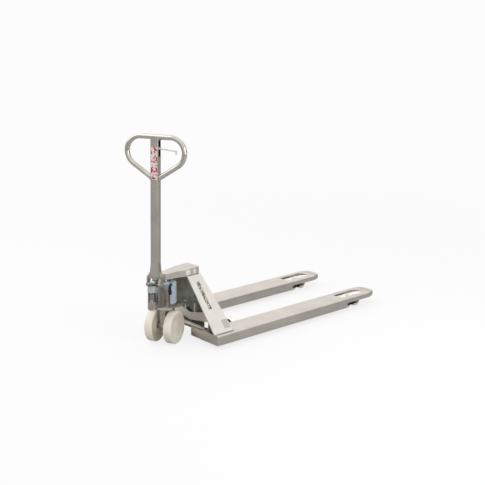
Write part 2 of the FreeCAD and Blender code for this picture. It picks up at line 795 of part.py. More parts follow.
def arm_point(length, height):
    """A point of the yoke at a length along its arm and a height above the arm's middle line."""
    return (f"(({length}) * cos({YOKE_ARM_ANGLE}) + ({height}) * sin({YOKE_ARM_ANGLE}))",
            f"(({height}) * cos({YOKE_ARM_ANGLE}) - ({length}) * sin({YOKE_ARM_ANGLE}))")


def yoke(sign):
    """A tube on the pivot pin with two arms to the bogie and a forked lever for the push rod."""
    frame = FORK[sign] * shift(0, value(YOKE_BACK), value("yoke_pivot_height"))
    frame = frame * spin(X_AXIS, YOKE_HALF_SWING)
    solids = [cylinder("x", "yoke_tube_radius",
                       (f"-{CHANNEL_HALF} + side_play", f"{CHANNEL_HALF} - side_play"))]
    tools = [cylinder("x", "yoke_pin_radius + running_fit", (f"-{FORK_HALF}", FORK_HALF))]
    upper_y = f"(yoke_plate_radius * sin({YOKE_ARM_ANGLE}))"
    upper_z = f"(yoke_plate_radius * cos({YOKE_ARM_ANGLE}))"
    for hand in SIDES:
        arm = side(hand, "yoke_plate_inner", "yoke_plate_inner + yoke_plate_wall")
        solids.append(prism("YZ_Plane",
                            [(f"-{upper_y}", f"-{upper_z}"), (upper_y, upper_z),
                             (f"{AXLE_Y} + {upper_y}", f"{AXLE_Z} + {upper_z}"),
                             (f"{AXLE_Y} - {upper_y}", f"{AXLE_Z} - {upper_z}")], arm))
        solids.append(cylinder("x", "yoke_plate_radius", arm))
        solids.append(cylinder("x", "yoke_plate_radius", arm, (AXLE_Y, AXLE_Z)))
        plate = side(hand, "rod_width / 2 + side_play", "rod_width / 2 + side_play + crank_wall")
        solids.append(prism("YZ_Plane",
                            [("-yoke_plate_radius", "0"), ("yoke_plate_radius", "0"),
                             ("crank_radius", YOKE_LEVER), ("-crank_radius", YOKE_LEVER)], plate))
        solids.append(cylinder("x", "crank_radius", plate, ("0", YOKE_LEVER)))
    solids.append(prism("YZ_Plane",
                        [arm_point("yoke_web_start", "yoke_web_wall / 2"),
                         arm_point("yoke_web_end", "yoke_web_wall / 2"),
                         arm_point("yoke_web_end", "yoke_web_wall * 1.5"),
                         arm_point("yoke_web_start", "yoke_web_wall * 1.5")],
                        ("-yoke_plate_inner", "yoke_plate_inner")))
    tools.append(cylinder("x", "roller_axle_radius + running_fit", (f"-{FORK_HALF}", FORK_HALF),
                          (AXLE_Y, AXLE_Z)))
    pin_half = "(rod_width / 2 + side_play + crank_wall)"
    tools.append(cylinder("x", "link_pin_radius", (f"-{pin_half}", pin_half), ("0", YOKE_LEVER)))
    node(f"roller_yoke_{SIDES[sign]}", frame, cut(fuse(*solids), *tools),
         cylinder("x", "link_pin_radius", (f"-{pin_half}", pin_half), ("0", YOKE_LEVER)))


def bogie(sign):
    """Two side plates with a stub axle each, and the two axles of the load rollers."""
    frame = FORK[sign] * shift(0, value(BOGIE_BACK), value("roller_radius"))
    outer = "(bogie_plate_inner + bogie_plate_wall)"
    plates = []
    for hand in SIDES:
        across = side(hand, "bogie_plate_inner", outer)
        ends = [("-roller_spacing / 2", "0"), ("roller_spacing / 2", "0")]
        solids = [box(across, (ends[0][0], ends[1][0]), ("-bogie_plate_radius", "bogie_plate_radius")),
                  cylinder("x", "roller_axle_radius",
                           side(hand, "bogie_plate_inner", "yoke_plate_inner + yoke_plate_wall"))]
        solids += [cylinder("x", "bogie_plate_radius", across, end) for end in ends]
        holes = [cylinder("x", "roller_axle_radius",
                          side(hand, "bogie_plate_inner - 1", f"{outer} + 1"), end)
                 for end in ends]
        plates.append(cut(fuse(*solids), *holes))
    node(f"bogie_{SIDES[sign]}", frame, *plates)
    node(f"roller_axles_{SIDES[sign]}", frame,
         *[cylinder("x", "roller_axle_radius", (f"-{outer}", outer), end) for end in ends])
    place = {"front": "-1", "rear": "1"}
    half = "(roller_width / 2)"
    for name, way in place.items():
        wheel_frame = frame * shift(0, value(f"{way} * roller_spacing / 2"), 0)
        bore = "(roller_axle_radius + running_fit)"
        points = [(f"-{half}", bore), (f"-{half}", "roller_radius - roller_edge"),
                  (f"-{half} + roller_edge", "roller_radius"), (f"{half} - roller_edge", "roller_radius"),
                  (half, "roller_radius - roller_edge"), (half, bore)]
        node(f"load_roller_{name}_{SIDES[sign]}", wheel_frame, turned(points))


def push_rod(sign):
    """A bar from the crank to the yoke's lever, with an oversize eye at each end."""
    front = f"({SHAFT_BACK} - crank_length * sin(atan(lift_travel / 2 / rocker_reach)))"
    low = "(rocker_height - crank_length * (1 + cos(atan(lift_travel / 2 / rocker_reach))) / 2)"
    back = f"({YOKE_BACK} - {YOKE_LEVER} * sin({YOKE_SWING} / 2))"
    high = f"(yoke_pivot_height + {YOKE_LEVER} * (1 + cos({YOKE_SWING} / 2)) / 2)"
    length = f"(sqrt(({back} - {front})^2 + ({high} - {low})^2))"
    slope = math.degrees(math.asin(value(f"({high} - {low}) / {length}")))
    frame = FORK[sign] * shift(0, value(front), value(low)) * spin(X_AXIS, slope)
    across = ("-rod_width / 2", "rod_width / 2")
    eye_hole = "(link_pin_radius + link_play)"
    bar = fuse(box(across, ("0", length), ("-rod_height / 2", "rod_height / 2")),
               cylinder("x", "rod_eye_radius", across),
               cylinder("x", "rod_eye_radius", across, (length, "0")))
    wide = ("-rod_width", "rod_width")
    holes = [cylinder("x", eye_hole, wide), cylinder("x", eye_hole, wide, (length, "0"))]
    node(f"push_rod_{SIDES[sign]}", frame, cut(bar, *holes))


for sign in SIDES:
    yoke(sign)
    bogie(sign)
    push_rod(sign)


# Steer wheels --------------------------------------------------------------------------------

def steer_wheel(sign):
    """A moulded wheel with two bearings and a cap over its outer end."""
    frame = PUMP * shift(sign * value("wheel_track / 2"), -value("wheel_trail"), value("wheel_radius"))
    half = "(wheel_width / 2)"
    bore = "bearing_radius"
    flat = f"({half} - wheel_dish)"
    crest = "(wheel_radius - wheel_rim)"
    points = [(f"-{half}", bore), (f"-{half}", "wheel_hub_radius - wheel_dish"),
              (f"-{flat}", "wheel_hub_radius"), (f"-{flat}", f"{crest} - wheel_dish"), (f"-{half}", crest),
              (f"-{half}", "wheel_radius - wheel_edge"), (f"wheel_edge - {half}", "wheel_radius"),
              (f"{half} - wheel_edge", "wheel_radius"), (half, "wheel_radius - wheel_edge"),
              (half, crest), (flat, f"{crest} - 2 * wheel_dish"), (flat, bore)]
    points = [(f"{sign} * ({x})", r) for x, r in points]
    node(f"steer_wheel_{SIDES[sign]}", frame, turned(points))
    spans = [(f"-{half} + 1", f"1 + bearing_width - {half}"),
             (f"{flat} - 7 - bearing_width", f"{flat} - 7")]
    bearings = [ring("x", bore, "axle_radius + running_fit", side(sign, *span)) for span in spans]
    node(f"bearings_{SIDES[sign]}", frame, *bearings)
    node(f"wheel_cap_{SIDES[sign]}", frame,
         cylinder("x", bore, side(sign, f"{flat} - 5", flat)))


for sign in SIDES:
    steer_wheel(sign)


# Pump ----------------------------------------------------------------------------------------

TANK_TOP = f"({DECK_TOP} + tank_height)"
CAP_TOP = f"({TANK_TOP} + cap_height)"
BOSS_TOP = f"({DECK_BOTTOM} + boss_height)"
BOSS_BOTTOM = f"({DECK_BOTTOM} + boss_rise)"
PLUNGER_STROKE = "(cam_arm * (sin(cam_angle) - sin(cam_angle - handle_swing)))"
DISC_TOP = "(tiller_height + cam_arm * sin(cam_angle) - cam_radius - cam_gap)"
DISC_BOTTOM = f"({DISC_TOP} - disc_wall)"
SEAT_BOTTOM = f"({BOSS_TOP} + spring_length + 2 * side_play)"
PUMP_FLOOR = f"({COLLAR_TOP} + floor_gap)"


def carrier():
    """The block between the steer wheels, with the axle and the collar under the bracket ring."""
    half = "carrier_half_width"
    block = fuse(cylinder("x", "carrier_radius", (f"-{half}", half), ("-wheel_trail", "wheel_radius")),
                 box((f"-{half}", half), ("-wheel_trail - carrier_radius", "carrier_radius - wheel_trail"),
                     ("wheel_radius", "collar_bottom")),
                 cylinder("z", "collar_radius", ("collar_bottom", COLLAR_TOP)))
    hole = cylinder("x", "axle_radius", (f"-{half} - 1", f"{half} + 1"), ("-wheel_trail", "wheel_radius"))
    node("wheel_carrier", PUMP, cut(block, hole))
    reach = "(wheel_track / 2 + wheel_width / 2 - wheel_dish - 6)"
    centre = ("-wheel_trail", "wheel_radius")
    spacers = [cylinder("x", "spacer_radius", side(sign, half, "wheel_track / 2 - wheel_width / 2 + side_play"),
                        centre) for sign in SIDES]
    node("wheel_axle", PUMP, fuse(cylinder("x", "axle_radius", (f"-{reach}", reach), centre), *spacers))
    node("thrust_washer", PUMP,
         ring("z", "collar_radius", "column_radius + running_fit",
              (COLLAR_TOP, f"{COLLAR_TOP} + washer_height")))


def pump_body():
    """The casting: column, deck, boss for the plunger and two lugs for the tiller pin."""
    boss = ("0", "-plunger_ahead")
    back = "(0 - tank_radius * 0.95)"
    shoulder = "deck_radius * 0.9"
    nose = (f"{BOSS_BOTTOM} + nose_plate_rise - nose_plate_height", f"{BOSS_BOTTOM} + nose_plate_rise")
    solids = [cylinder("z", "column_radius", (COLLAR_TOP, DECK_TOP)),
              cylinder("z", "deck_radius", (DECK_BOTTOM, DECK_TOP)),
              box((f"-{shoulder}", shoulder), ("-deck_radius - deck_nose", "-deck_radius / 3"),
                  (DECK_BOTTOM, DECK_TOP)),
              box(("-lug_inner - 1", "lug_inner + 1"), (boss[1], back), nose),
              cylinder("z", "boss_radius", (BOSS_BOTTOM, BOSS_TOP), boss)]
    tools = [cylinder("z", "cylinder_radius", (PUMP_FLOOR, f"{DECK_TOP} + 1")),
             cylinder("z", "tank_radius", (DECK_TOP, f"{DECK_TOP} + tank_height")),
             cylinder("z", "plunger_radius + running_fit",
                      (f"{BOSS_BOTTOM} + boss_floor", f"{BOSS_TOP} + 1"), boss)]
    for sign in SIDES:
        across = side(sign, "lug_inner", "lug_inner + lug_wall")
        wide = side(sign, "lug_inner - 1", "lug_inner + lug_wall + 1")
        solids.append(prism("YZ_Plane",
                            [(back, f"{DECK_TOP} - 1"), ("-tiller_ahead + lug_wall", f"{DECK_TOP} - 1"),
                             ("-tiller_ahead - lug_radius * 1.4", f"{DECK_TOP} + lug_radius"),
                             ("-tiller_ahead - lug_radius", "tiller_height"),
                             ("lug_radius - tiller_ahead", "tiller_height"),
                             (back, f"{DECK_TOP} + tank_height / 2")], across))
        solids.append(cylinder("x", "lug_radius", across, ("-tiller_ahead", "tiller_height")))
        tools.append(cylinder("x", "tiller_pin_radius", wide, ("-tiller_ahead", "tiller_height")))
    node("pump_body", PUMP, cut(fuse(*solids), *tools))
    head_reach = "(cheek_inner + cheek_wall + side_play)"
    pin = ("-tiller_ahead", "tiller_height")
    node("tiller_pin", PUMP,
         fuse(cylinder("x", "tiller_pin_radius", (f"-{head_reach}", head_reach), pin),
              hexagon("x", "tiller_pin_radius * 1.6", (head_reach, f"{head_reach} + pin_head"), pin),
              hexagon("x", "tiller_pin_radius * 1.6", (f"-{head_reach} - pin_head", f"-{head_reach}"), pin)))


def pump_cylinder():
    """The oil tank with its cap, the cylinder inside it and the gland; and the ram in the cylinder."""
    node("oil_tank", PUMP, ring("z", "tank_radius", "tank_radius - tank_wall", (DECK_TOP, TANK_TOP)))
    plug = hexagon("z", "tiller_pin_radius", (TANK_TOP, f"{CAP_TOP} + plug_height"), ("0", "tank_radius * 0.72"))
    lid = ring("z", "tank_radius", "cylinder_radius", (TANK_TOP, CAP_TOP))
    node("tank_cap", PUMP, fuse(lid, plug))
    bore = "(ram_radius + running_fit)"
    tube = cut(cylinder("z", "cylinder_radius", (PUMP_FLOOR, CAP_TOP)),
               cylinder("z", bore, (f"{PUMP_FLOOR} + cylinder_floor", f"{CAP_TOP} + 1")))
    node("lift_cylinder", PUMP, tube)
    node("gland_ring", PUMP, ring("z", "gland_radius", bore, (CAP_TOP, f"{CAP_TOP} + gland_height")))
    node("ram", BRACKET,
         cylinder("z", "ram_radius", (f"{PUMP_FLOOR} + cylinder_floor + 1", "head_bottom + ram_socket")))


def plunger():
    """The pump plunger with its spring seat and the disc that the cam roller presses."""
    at = ("0", "-plunger_ahead")
    low = f"({BOSS_BOTTOM} + boss_floor + {PLUNGER_STROKE} + side_play)"
    node("pump_plunger", PUMP,
         fuse(cylinder("z", "plunger_radius", (low, SEAT_BOTTOM), at),
              cylinder("z", "plunger_disc_radius", (SEAT_BOTTOM, f"{SEAT_BOTTOM} + seat_wall"), at),
              cylinder("z", "plunger_head_radius", (f"{SEAT_BOTTOM} + seat_wall", DISC_BOTTOM), at)))
    node("plunger_disc", PUMP, cylinder("z", "plunger_disc_radius", (DISC_BOTTOM, DISC_TOP), at))
    helix = doc.addObject("Part::Helix", "coil")
    bind(helix, Radius="spring_coil_radius", Height="spring_length - 2 * spring_wire_radius",
         Pitch="(spring_length - 2 * spring_wire_radius) / spring_turns")
    wire = doc.addObject("Part::Circle", "wire")
    wire.Placement = FreeCAD.Placement(FreeCAD.Vector(), FreeCAD.Rotation(X_AXIS, 90))
    bind(wire, Radius="spring_wire_radius")
    put(wire, "spring_coil_radius", "0", "0")
    spring = doc.addObject("Part::Sweep", "spring")
    spring.Sections = [wire]
    spring.Spine = (helix, ["Edge1"])
    spring.Solid = True
    spring.Frenet = True
    frame = PUMP * shift(0, -value("plunger_ahead"), value(f"{BOSS_TOP} + side_play + spring_wire_radius"))
    node("plunger_spring", frame, spring)


def valve():
    """The lowering valve beside the tank, and its release lever."""
    low = "(lug_inner + lug_wall + valve_gap)"
    high = "(deck_radius * 0.86)"
    front = "(0 - deck_radius - valve_nose)"
    back = "(0 - tank_radius * 0.86)"
    top = f"({DECK_TOP} + valve_height)"
    pivot = (f"({front} + {back}) / 2", f"{top} - valve_pivot_drop")
    block = box((low, high), (front, back), (DECK_TOP, top))
    node("valve_block", PUMP,
         fuse(block, cylinder("x", "cam_pin_radius", (low, f"{high} + release_wall + 3"), pivot)))
    frame = PUMP * shift(0, value(pivot[0]), value(pivot[1]))
    across = (f"{high} + 1", f"{high} + 1 + release_wall")
    hub = "release_hub"
    claw = [(f"-{hub}", "0"), (f"-{hub} * 1.4", f"{hub} * 2"), (f"-{hub} * 1.1", f"{hub} * 4"),
            ("0", f"{hub} * 5"), (f"{hub} * 1.5", f"{hub} * 5.2"), (f"{hub} * 1.5", f"{hub} * 4.2"),
            (f"{hub} * 0.3", f"{hub} * 3.8"), ("0", f"{hub} * 2.4"), (hub, "0")]
    hole = cylinder("x", "cam_pin_radius + running_fit", (high, f"{high} + release_wall + 2"))
    node("release_lever", frame,
         cut(fuse(prism("YZ_Plane", claw, across), cylinder("x", hub, across)), hole))


carrier()
pump_body()
pump_cylinder()
plunger()
valve()


# Handle --------------------------------------------------------------------------------------

SHAFT_BOTTOM = "(saddle_bottom + saddle_wall)"
BAR_Z = "(handle_length - loop_tube_radius)"
BEND_Z = f"({BAR_Z} - loop_bend_radius)"
SHAFT_SIDE = "(shaft_width / 2)"


def shaft_block(inset, low, high):
    """The outside of the square handle tube, or its inside, between two heights."""
    half = f"({SHAFT_SIDE} - {inset})"
    near = f"(shaft_offset - shaft_depth / 2 + {inset})"
    far = f"(shaft_offset + shaft_depth / 2 - {inset})"
    block = prism("XY_Plane", [(f"-{half}", near), (half, near), (half, far), (f"-{half}", far)], (low, high))
    return rounded(block, f"shaft_corner - {inset}", lambda middle, edge: upright(edge))


CAM_LINE = "(cam_angle - handle_lean)"


def cam_point(length, height):
    """A point of the cam plates at a length along the line to the cam and a height above it."""
    return (f"(({height}) * sin({CAM_LINE}) - ({length}) * cos({CAM_LINE}))",
            f"(({length}) * sin({CAM_LINE}) + ({height}) * cos({CAM_LINE}))")


def tiller_yoke():
    """The foot of the handle: two cheeks on the tiller pin, a saddle, a flare and the cam plates."""
    cam = cam_point("cam_arm", "0")
    far = "(shaft_offset + shaft_depth / 2)"
    near = "(shaft_offset - shaft_depth / 2)"
    reach = "(lug_inner - side_play)"
    waist = f"({SHAFT_SIDE} + flare_waist_width)"
    foot = "(saddle_half_width - 2)"
    levels = (SHAFT_BOTTOM, f"{SHAFT_BOTTOM} + flare_waist", f"{SHAFT_BOTTOM} + flare_height")
    solids = [box(("-saddle_half_width", "saddle_half_width"), (near, far), ("saddle_bottom", SHAFT_BOTTOM)),
              prism("XZ_Plane",
                    [(f"-{foot}", levels[0]), (foot, levels[0]), (waist, levels[1]), (SHAFT_SIDE, levels[2]),
                     (f"-{SHAFT_SIDE}", levels[2]), (f"-{waist}", levels[1])], (f"{near} + 4", f"{far} - 4")),
              cylinder("x", "sleeve_radius", (f"-{reach}", reach)),
              prism("YZ_Plane",
                    [("-sleeve_radius * 0.3", "sleeve_radius * 0.7"), ("sleeve_radius * 0.8", "0"),
                     (far, "saddle_bottom"), (near, "saddle_bottom")], ("-lug_inner / 2", "lug_inner / 2"))]
    tools = [shaft_block("0", SHAFT_BOTTOM, f"{SHAFT_BOTTOM} + 2 * flare_height"),
             cylinder("x", "tiller_pin_radius + running_fit",
                      ("-saddle_half_width - 1", "saddle_half_width + 1"))]
    for sign in SIDES:
        cheek = side(sign, "cheek_inner", "cheek_inner + cheek_wall")
        solids.append(cylinder("x", "lug_radius", cheek))
        solids.append(prism("YZ_Plane",
                            [("-lug_radius", "0"), ("lug_radius * 0.8", "-lug_radius * 0.6"),
                             (far, "saddle_bottom"), (far, SHAFT_BOTTOM), (near, SHAFT_BOTTOM)], cheek))
        plate = side(sign, "cam_radius + side_play", "cam_radius + side_play + cam_plate_wall")
        solids.append(prism("YZ_Plane",
                            [cam_point("0", "cam_plate_radius"), cam_point("cam_arm", "cam_plate_radius"),
                             cam_point("cam_arm", "-cam_plate_radius * 0.9"),
                             cam_point("sleeve_radius * 1.5", "-side_play * 3"),
                             cam_point("sleeve_radius * 0.9", "-side_play * 3"),
                             cam_point("0", "-cam_plate_radius")], plate))
        solids.append(cylinder("x", "cam_plate_radius", plate, cam))
        tools.append(cylinder("x", "cam_pin_radius", side(sign, "cam_radius", "cam_radius + cam_hole_depth"), cam))
    node("tiller_yoke", HANDLE, cut(fuse(*solids), *tools))
    pin = "(cam_radius + side_play + cam_plate_wall)"
    node("cam_pin", HANDLE, cylinder("x", "cam_pin_radius", (f"-{pin}", pin), cam))
    cam_frame = HANDLE * shift(0, value(cam[0]), value(cam[1]))
    node("cam_roller", cam_frame,
         ring("x", "cam_radius", "cam_pin_radius + running_fit", ("-cam_radius", "cam_radius")))


def loop_bar(radius):
    """The round bar of the loop, following its middle line from one leg to the other."""
    bar = cylinder("x", radius, ("-loop_half_bar", "loop_half_bar"), ("shaft_offset", BAR_Z))
    pieces = [bar]
    turn = "(180 - loop_leg_angle)"
    end_x = "(loop_half_bar + loop_bend_radius * sin(loop_leg_angle))"
    end_z = f"({BEND_Z} - loop_bend_radius * cos(loop_leg_angle))"
    for sign in SIDES:
        bend = doc.addObject("Part::Torus", "bend")
        bind(bend, Radius1="loop_bend_radius", Radius2=radius, Angle3=turn)
        bend.Placement = FreeCAD.Placement(FreeCAD.Vector(), bend_rotation(sign))
        put(bend, f"{sign} * loop_half_bar", "shaft_offset", BEND_Z)
        leg = doc.addObject("Part::Cylinder", "leg")
        bind(leg, Radius=radius, Height=f"{end_x} / cos(loop_leg_angle)")
        leg.Placement = FreeCAD.Placement(FreeCAD.Vector(), leg_rotation(sign))
        put(leg, f"{sign} * {end_x}", "shaft_offset", end_z)
        pieces += [bend, leg]
    return fuse(*pieces)


def bend_rotation(sign):
    """A turn that lays a torus in the XZ plane, its sweep running from the bar out and down."""
    axis_y = FreeCAD.Vector(0, sign, 0)
    start = FreeCAD.Vector(0, 0, 1)
    return FreeCAD.Rotation(start, axis_y.cross(start), axis_y, "ZXY")


def leg_rotation(sign):
    """A turn that points a bar from the end of the bend inwards and down to the handle tube."""
    angle = math.radians(value("loop_leg_angle"))
    inward = FreeCAD.Vector(-sign * math.cos(angle), 0, -math.sin(angle))
    return FreeCAD.Rotation(FreeCAD.Vector(0, 0, 1), inward)


WINDOW_Y = ("shaft_offset - window_half", "shaft_offset + window_half")
WINDOW_Z = ("lever_height - window_height", "lever_height + window_height")


def handle():
    """The square tube with its lever window, the loop round its top and the label."""
    top = BAR_Z
    crossing = cylinder("x", "loop_tube_radius", ("-shaft_width", "shaft_width"), ("shaft_offset", BAR_Z))
    window = box((f"{SHAFT_SIDE} - shaft_wall - 1", f"{SHAFT_SIDE} + 1"), WINDOW_Y, WINDOW_Z)
    node("handle_tube", HANDLE,
         cut(shaft_block("0", SHAFT_BOTTOM, top),
             shaft_block("shaft_wall", f"{SHAFT_BOTTOM} - 1", f"{top} + 1"), crossing, window))
    inside = shaft_block("0", SHAFT_BOTTOM, f"{BAR_Z} - loop_tube_radius - 10")
    node("handle_loop", HANDLE,
         cut(loop_bar("loop_tube_radius"), loop_bar("(loop_tube_radius - loop_tube_wall)"), inside))
    front = "(shaft_offset - shaft_depth / 2)"
    high = f"({BAR_Z} - loop_tube_radius - label_drop)"
    node("grip_label", HANDLE,
         box(("shaft_corner - shaft_width / 2", "shaft_width / 2 - shaft_corner"),
             (f"{front} - label_wall", front), (f"{high} - label_length", high)))


def control_lever():
    """The three-position lever at the loop and the open-sided housing it turns in."""
    mouth = (f"{SHAFT_SIDE} - housing_depth", SHAFT_SIDE)
    hollow = box((f"{mouth[0]} + housing_wall", f"{mouth[1]} + 1"),
                 (f"{WINDOW_Y[0]} + housing_wall", f"{WINDOW_Y[1]} - housing_wall"),
                 (f"{WINDOW_Z[0]} + housing_wall", f"{WINDOW_Z[1]} - housing_wall"))
    pin = cylinder("y", "lever_pin_radius", (f"{WINDOW_Y[0]} + 1", f"{WINDOW_Y[1]} - 1"),
                   ("lever_pivot", "lever_height"))
    node("lever_housing", HANDLE, fuse(cut(box(mouth, WINDOW_Y, WINDOW_Z), hollow), pin))
    frame = HANDLE * shift(value("lever_pivot"), value("shaft_offset"), value("lever_height"))
    hub = cylinder("y", "lever_hub_radius", ("-lever_hub_wall / 2", "lever_hub_wall / 2"))
    rod = prism("XZ_Plane",
                [("0", "lever_rod_radius"), ("0", "-lever_rod_radius"),
                 ("lever_length", "-lever_drop - lever_rod_radius"),
                 ("lever_length", "lever_rod_radius - lever_drop")],
                ("-lever_rod_radius", "lever_rod_radius"))
    tip = cylinder("z", "lever_rod_radius * 1.4",
                   ("-lever_drop - lever_tip", "lever_rod_radius * 1.4 - lever_drop"), ("lever_length", "0"))
    bore = cylinder("y", "lever_pin_radius + running_fit", ("-lever_hub_wall", "lever_hub_wall"))
    node("control_lever", frame, cut(fuse(hub, rod, tip), bore))


tiller_yoke()
handle()
control_lever()


# Export --------------------------------------------------------------------------------------

doc.recompute()
problems = [item.Label for item in doc.Objects if "Invalid" in item.State or "Error" in item.State]
for item in NODES:
    if item.Shape.isNull() or not item.Shape.isValid() or not item.Shape.Solids:
        problems.append(item.Label)
if problems:
    raise RuntimeError("not built: " + ", ".join(problems))

os.makedirs("parts", exist_ok=True)
for item in NODES:
    item.Shape.exportStep(f"parts/{item.Label}.step")
    print(item.Label, len(item.Shape.Solids), round(item.Shape.Volume))
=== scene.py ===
"""Looks of a stainless hand pallet truck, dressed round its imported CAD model.

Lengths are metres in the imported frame: +X across the truck, +Y to the fork tips, +Z up.
Sizes that a maker would give in millimetres are written in millimetres and turned by MM.
"""

import json
import logging
import math
from dataclasses import dataclass
from enum import Enum

import bmesh
import bpy
import numpy as np
from mathutils import Matrix, Vector

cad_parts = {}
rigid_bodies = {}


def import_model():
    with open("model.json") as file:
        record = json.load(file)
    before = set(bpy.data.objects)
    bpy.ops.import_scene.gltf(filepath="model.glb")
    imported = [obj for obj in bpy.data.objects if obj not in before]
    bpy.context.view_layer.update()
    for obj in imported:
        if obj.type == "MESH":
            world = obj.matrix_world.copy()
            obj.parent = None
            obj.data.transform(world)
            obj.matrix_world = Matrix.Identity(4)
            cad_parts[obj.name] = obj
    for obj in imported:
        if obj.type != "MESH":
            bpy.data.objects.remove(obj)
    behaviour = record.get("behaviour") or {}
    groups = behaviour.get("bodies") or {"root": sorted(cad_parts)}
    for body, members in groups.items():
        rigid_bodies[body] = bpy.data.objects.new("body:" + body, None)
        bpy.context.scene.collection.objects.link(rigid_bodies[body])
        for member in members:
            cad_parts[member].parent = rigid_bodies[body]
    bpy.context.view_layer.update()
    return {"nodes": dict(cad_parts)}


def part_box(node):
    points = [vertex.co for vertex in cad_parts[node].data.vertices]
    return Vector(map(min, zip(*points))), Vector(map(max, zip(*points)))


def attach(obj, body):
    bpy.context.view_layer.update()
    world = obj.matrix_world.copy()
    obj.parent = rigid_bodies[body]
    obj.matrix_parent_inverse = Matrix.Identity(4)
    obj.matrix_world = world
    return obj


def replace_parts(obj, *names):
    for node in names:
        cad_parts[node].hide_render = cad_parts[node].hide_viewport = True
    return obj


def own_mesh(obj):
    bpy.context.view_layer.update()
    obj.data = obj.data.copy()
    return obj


MM = 0.001
LOG = logging.getLogger("pallet_truck")

Points = np.ndarray
Place = tuple[float, float, float]
Profile = list[tuple[float, float]]


# Numbers and colours --------------------------------------------------------------------------


def linear(hex_colour: str) -> tuple[float, float, float, float]:
    """Turn an sRGB hex colour into linear red, green, blue and alpha.

    Args:
        hex_colour: six hex digits after a hash.

    Returns:
        The linear colour with an alpha of 1.
    """
    channels = [int(hex_colour[i : i + 2], 16) / 255 for i in (1, 3, 5)]
    bent = [c / 12.92 if c <= 0.04045 else ((c + 0.055) / 1.055) ** 2.4 for c in channels]
    return (bent[0], bent[1], bent[2], 1.0)


def add_node(tree: bpy.types.NodeTree, kind: str, settings: dict | None = None, **links) -> bpy.types.Node:
    """Add one node, set its properties and fill its inputs.

    Args:
        tree: the node tree that gets the node.
        kind: the node's type name.
        settings: properties of the node itself, and inputs by index or name under "inputs".
        links: inputs by name, with underscores for spaces; a socket is linked, a value is set.

    Returns:
        The new node.
    """
    node = tree.nodes.new(kind)
    settings = dict(settings or {})
    inputs = settings.pop("inputs", {})
    for name, setting in settings.items():
        setattr(node, name, setting)
    wanted = {**inputs, **{name.replace("_", " "): link for name, link in links.items()}}
    for name, link in wanted.items():
        if isinstance(link, bpy.types.NodeSocket):
            tree.links.new(link, node.inputs[name])
        else:
            node.inputs[name].default_value = link
    return node


# Meshes ---------------------------------------------------------------------------------------


def grid_mesh(name: str, points: Points, round_u: bool = False, round_v: bool = False) -> bpy.types.Object:
    """Build a mesh from a grid of points, one quad between each four neighbours.

    Args:
        name: the object's name.
        points: an array of rows by columns by 3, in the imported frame.
        round_u: whether the last row joins the first.
        round_v: whether the last column joins the first.

    Returns:
        The object, smooth shaded, linked to the scene.
    """
    rows, columns = points.shape[:2]
    index = np.arange(rows * columns).reshape(rows, columns)
    if round_u:
        index = np.vstack([index, index[:1]])
    if round_v:
        index = np.hstack([index, index[:, :1]])
    quads = np.stack([index[:-1, :-1], index[:-1, 1:], index[1:, 1:], index[1:, :-1]], axis=-1)
    faces = quads.reshape(-1, 4).tolist()
    if round_v and not round_u:
        faces.append(index[0, :-1].tolist())
        faces.append(index[-1, :-1][::-1].tolist())
    mesh = bpy.data.meshes.new(name)
    mesh.from_pydata(points.reshape(-1, 3).tolist(), [], faces)
    mesh.validate()
    outward(mesh)
    mesh.polygons.foreach_set("use_smooth", np.ones(len(mesh.polygons), bool))
    piece = bpy.data.objects.new(name, mesh)
    bpy.context.scene.collection.objects.link(piece)
    return piece


def outward(mesh: bpy.types.Mesh) -> None:
    """Merge a closed mesh's doubles and point its faces outwards."""
    work = bmesh.new()
    work.from_mesh(mesh)
    bmesh.ops.remove_doubles(work, verts=work.verts, dist=1e-7)
    bmesh.ops.recalc_face_normals(work, faces=work.faces)
    work.to_mesh(mesh)
    work.free()


def lathe(name: str, profile: Profile, place: Matrix, turns: int = 96) -> bpy.types.Object:
    """Turn a profile about the local X axis.

    Each point (x, r) becomes a ring of radius r at x: y = r cos(angle), z = r sin(angle).

    Args:
        name: the object's name.
        profile: closed or open list of (x, radius) in millimetres.
        place: the local frame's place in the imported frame, in metres.
        turns: how many steps make one turn.

    Returns:
        The turned piece.
    """
    outline = np.array(profile) * MM
    angle = np.linspace(0, 2 * math.pi, turns, endpoint=False)
    x = np.repeat(outline[:, :1], turns, axis=1)
    y = outline[:, 1:] * np.cos(angle)
    z = outline[:, 1:] * np.sin(angle)
    return grid_mesh(name, moved(np.stack([x, y, z], axis=-1), place), round_u=True, round_v=True)


def moved(points: Points, place: Matrix) -> Points:
    """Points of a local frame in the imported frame: rotation times point plus the frame's origin."""
    turn = np.array(place.to_3x3())
    return points @ turn.T + np.array(place.translation)


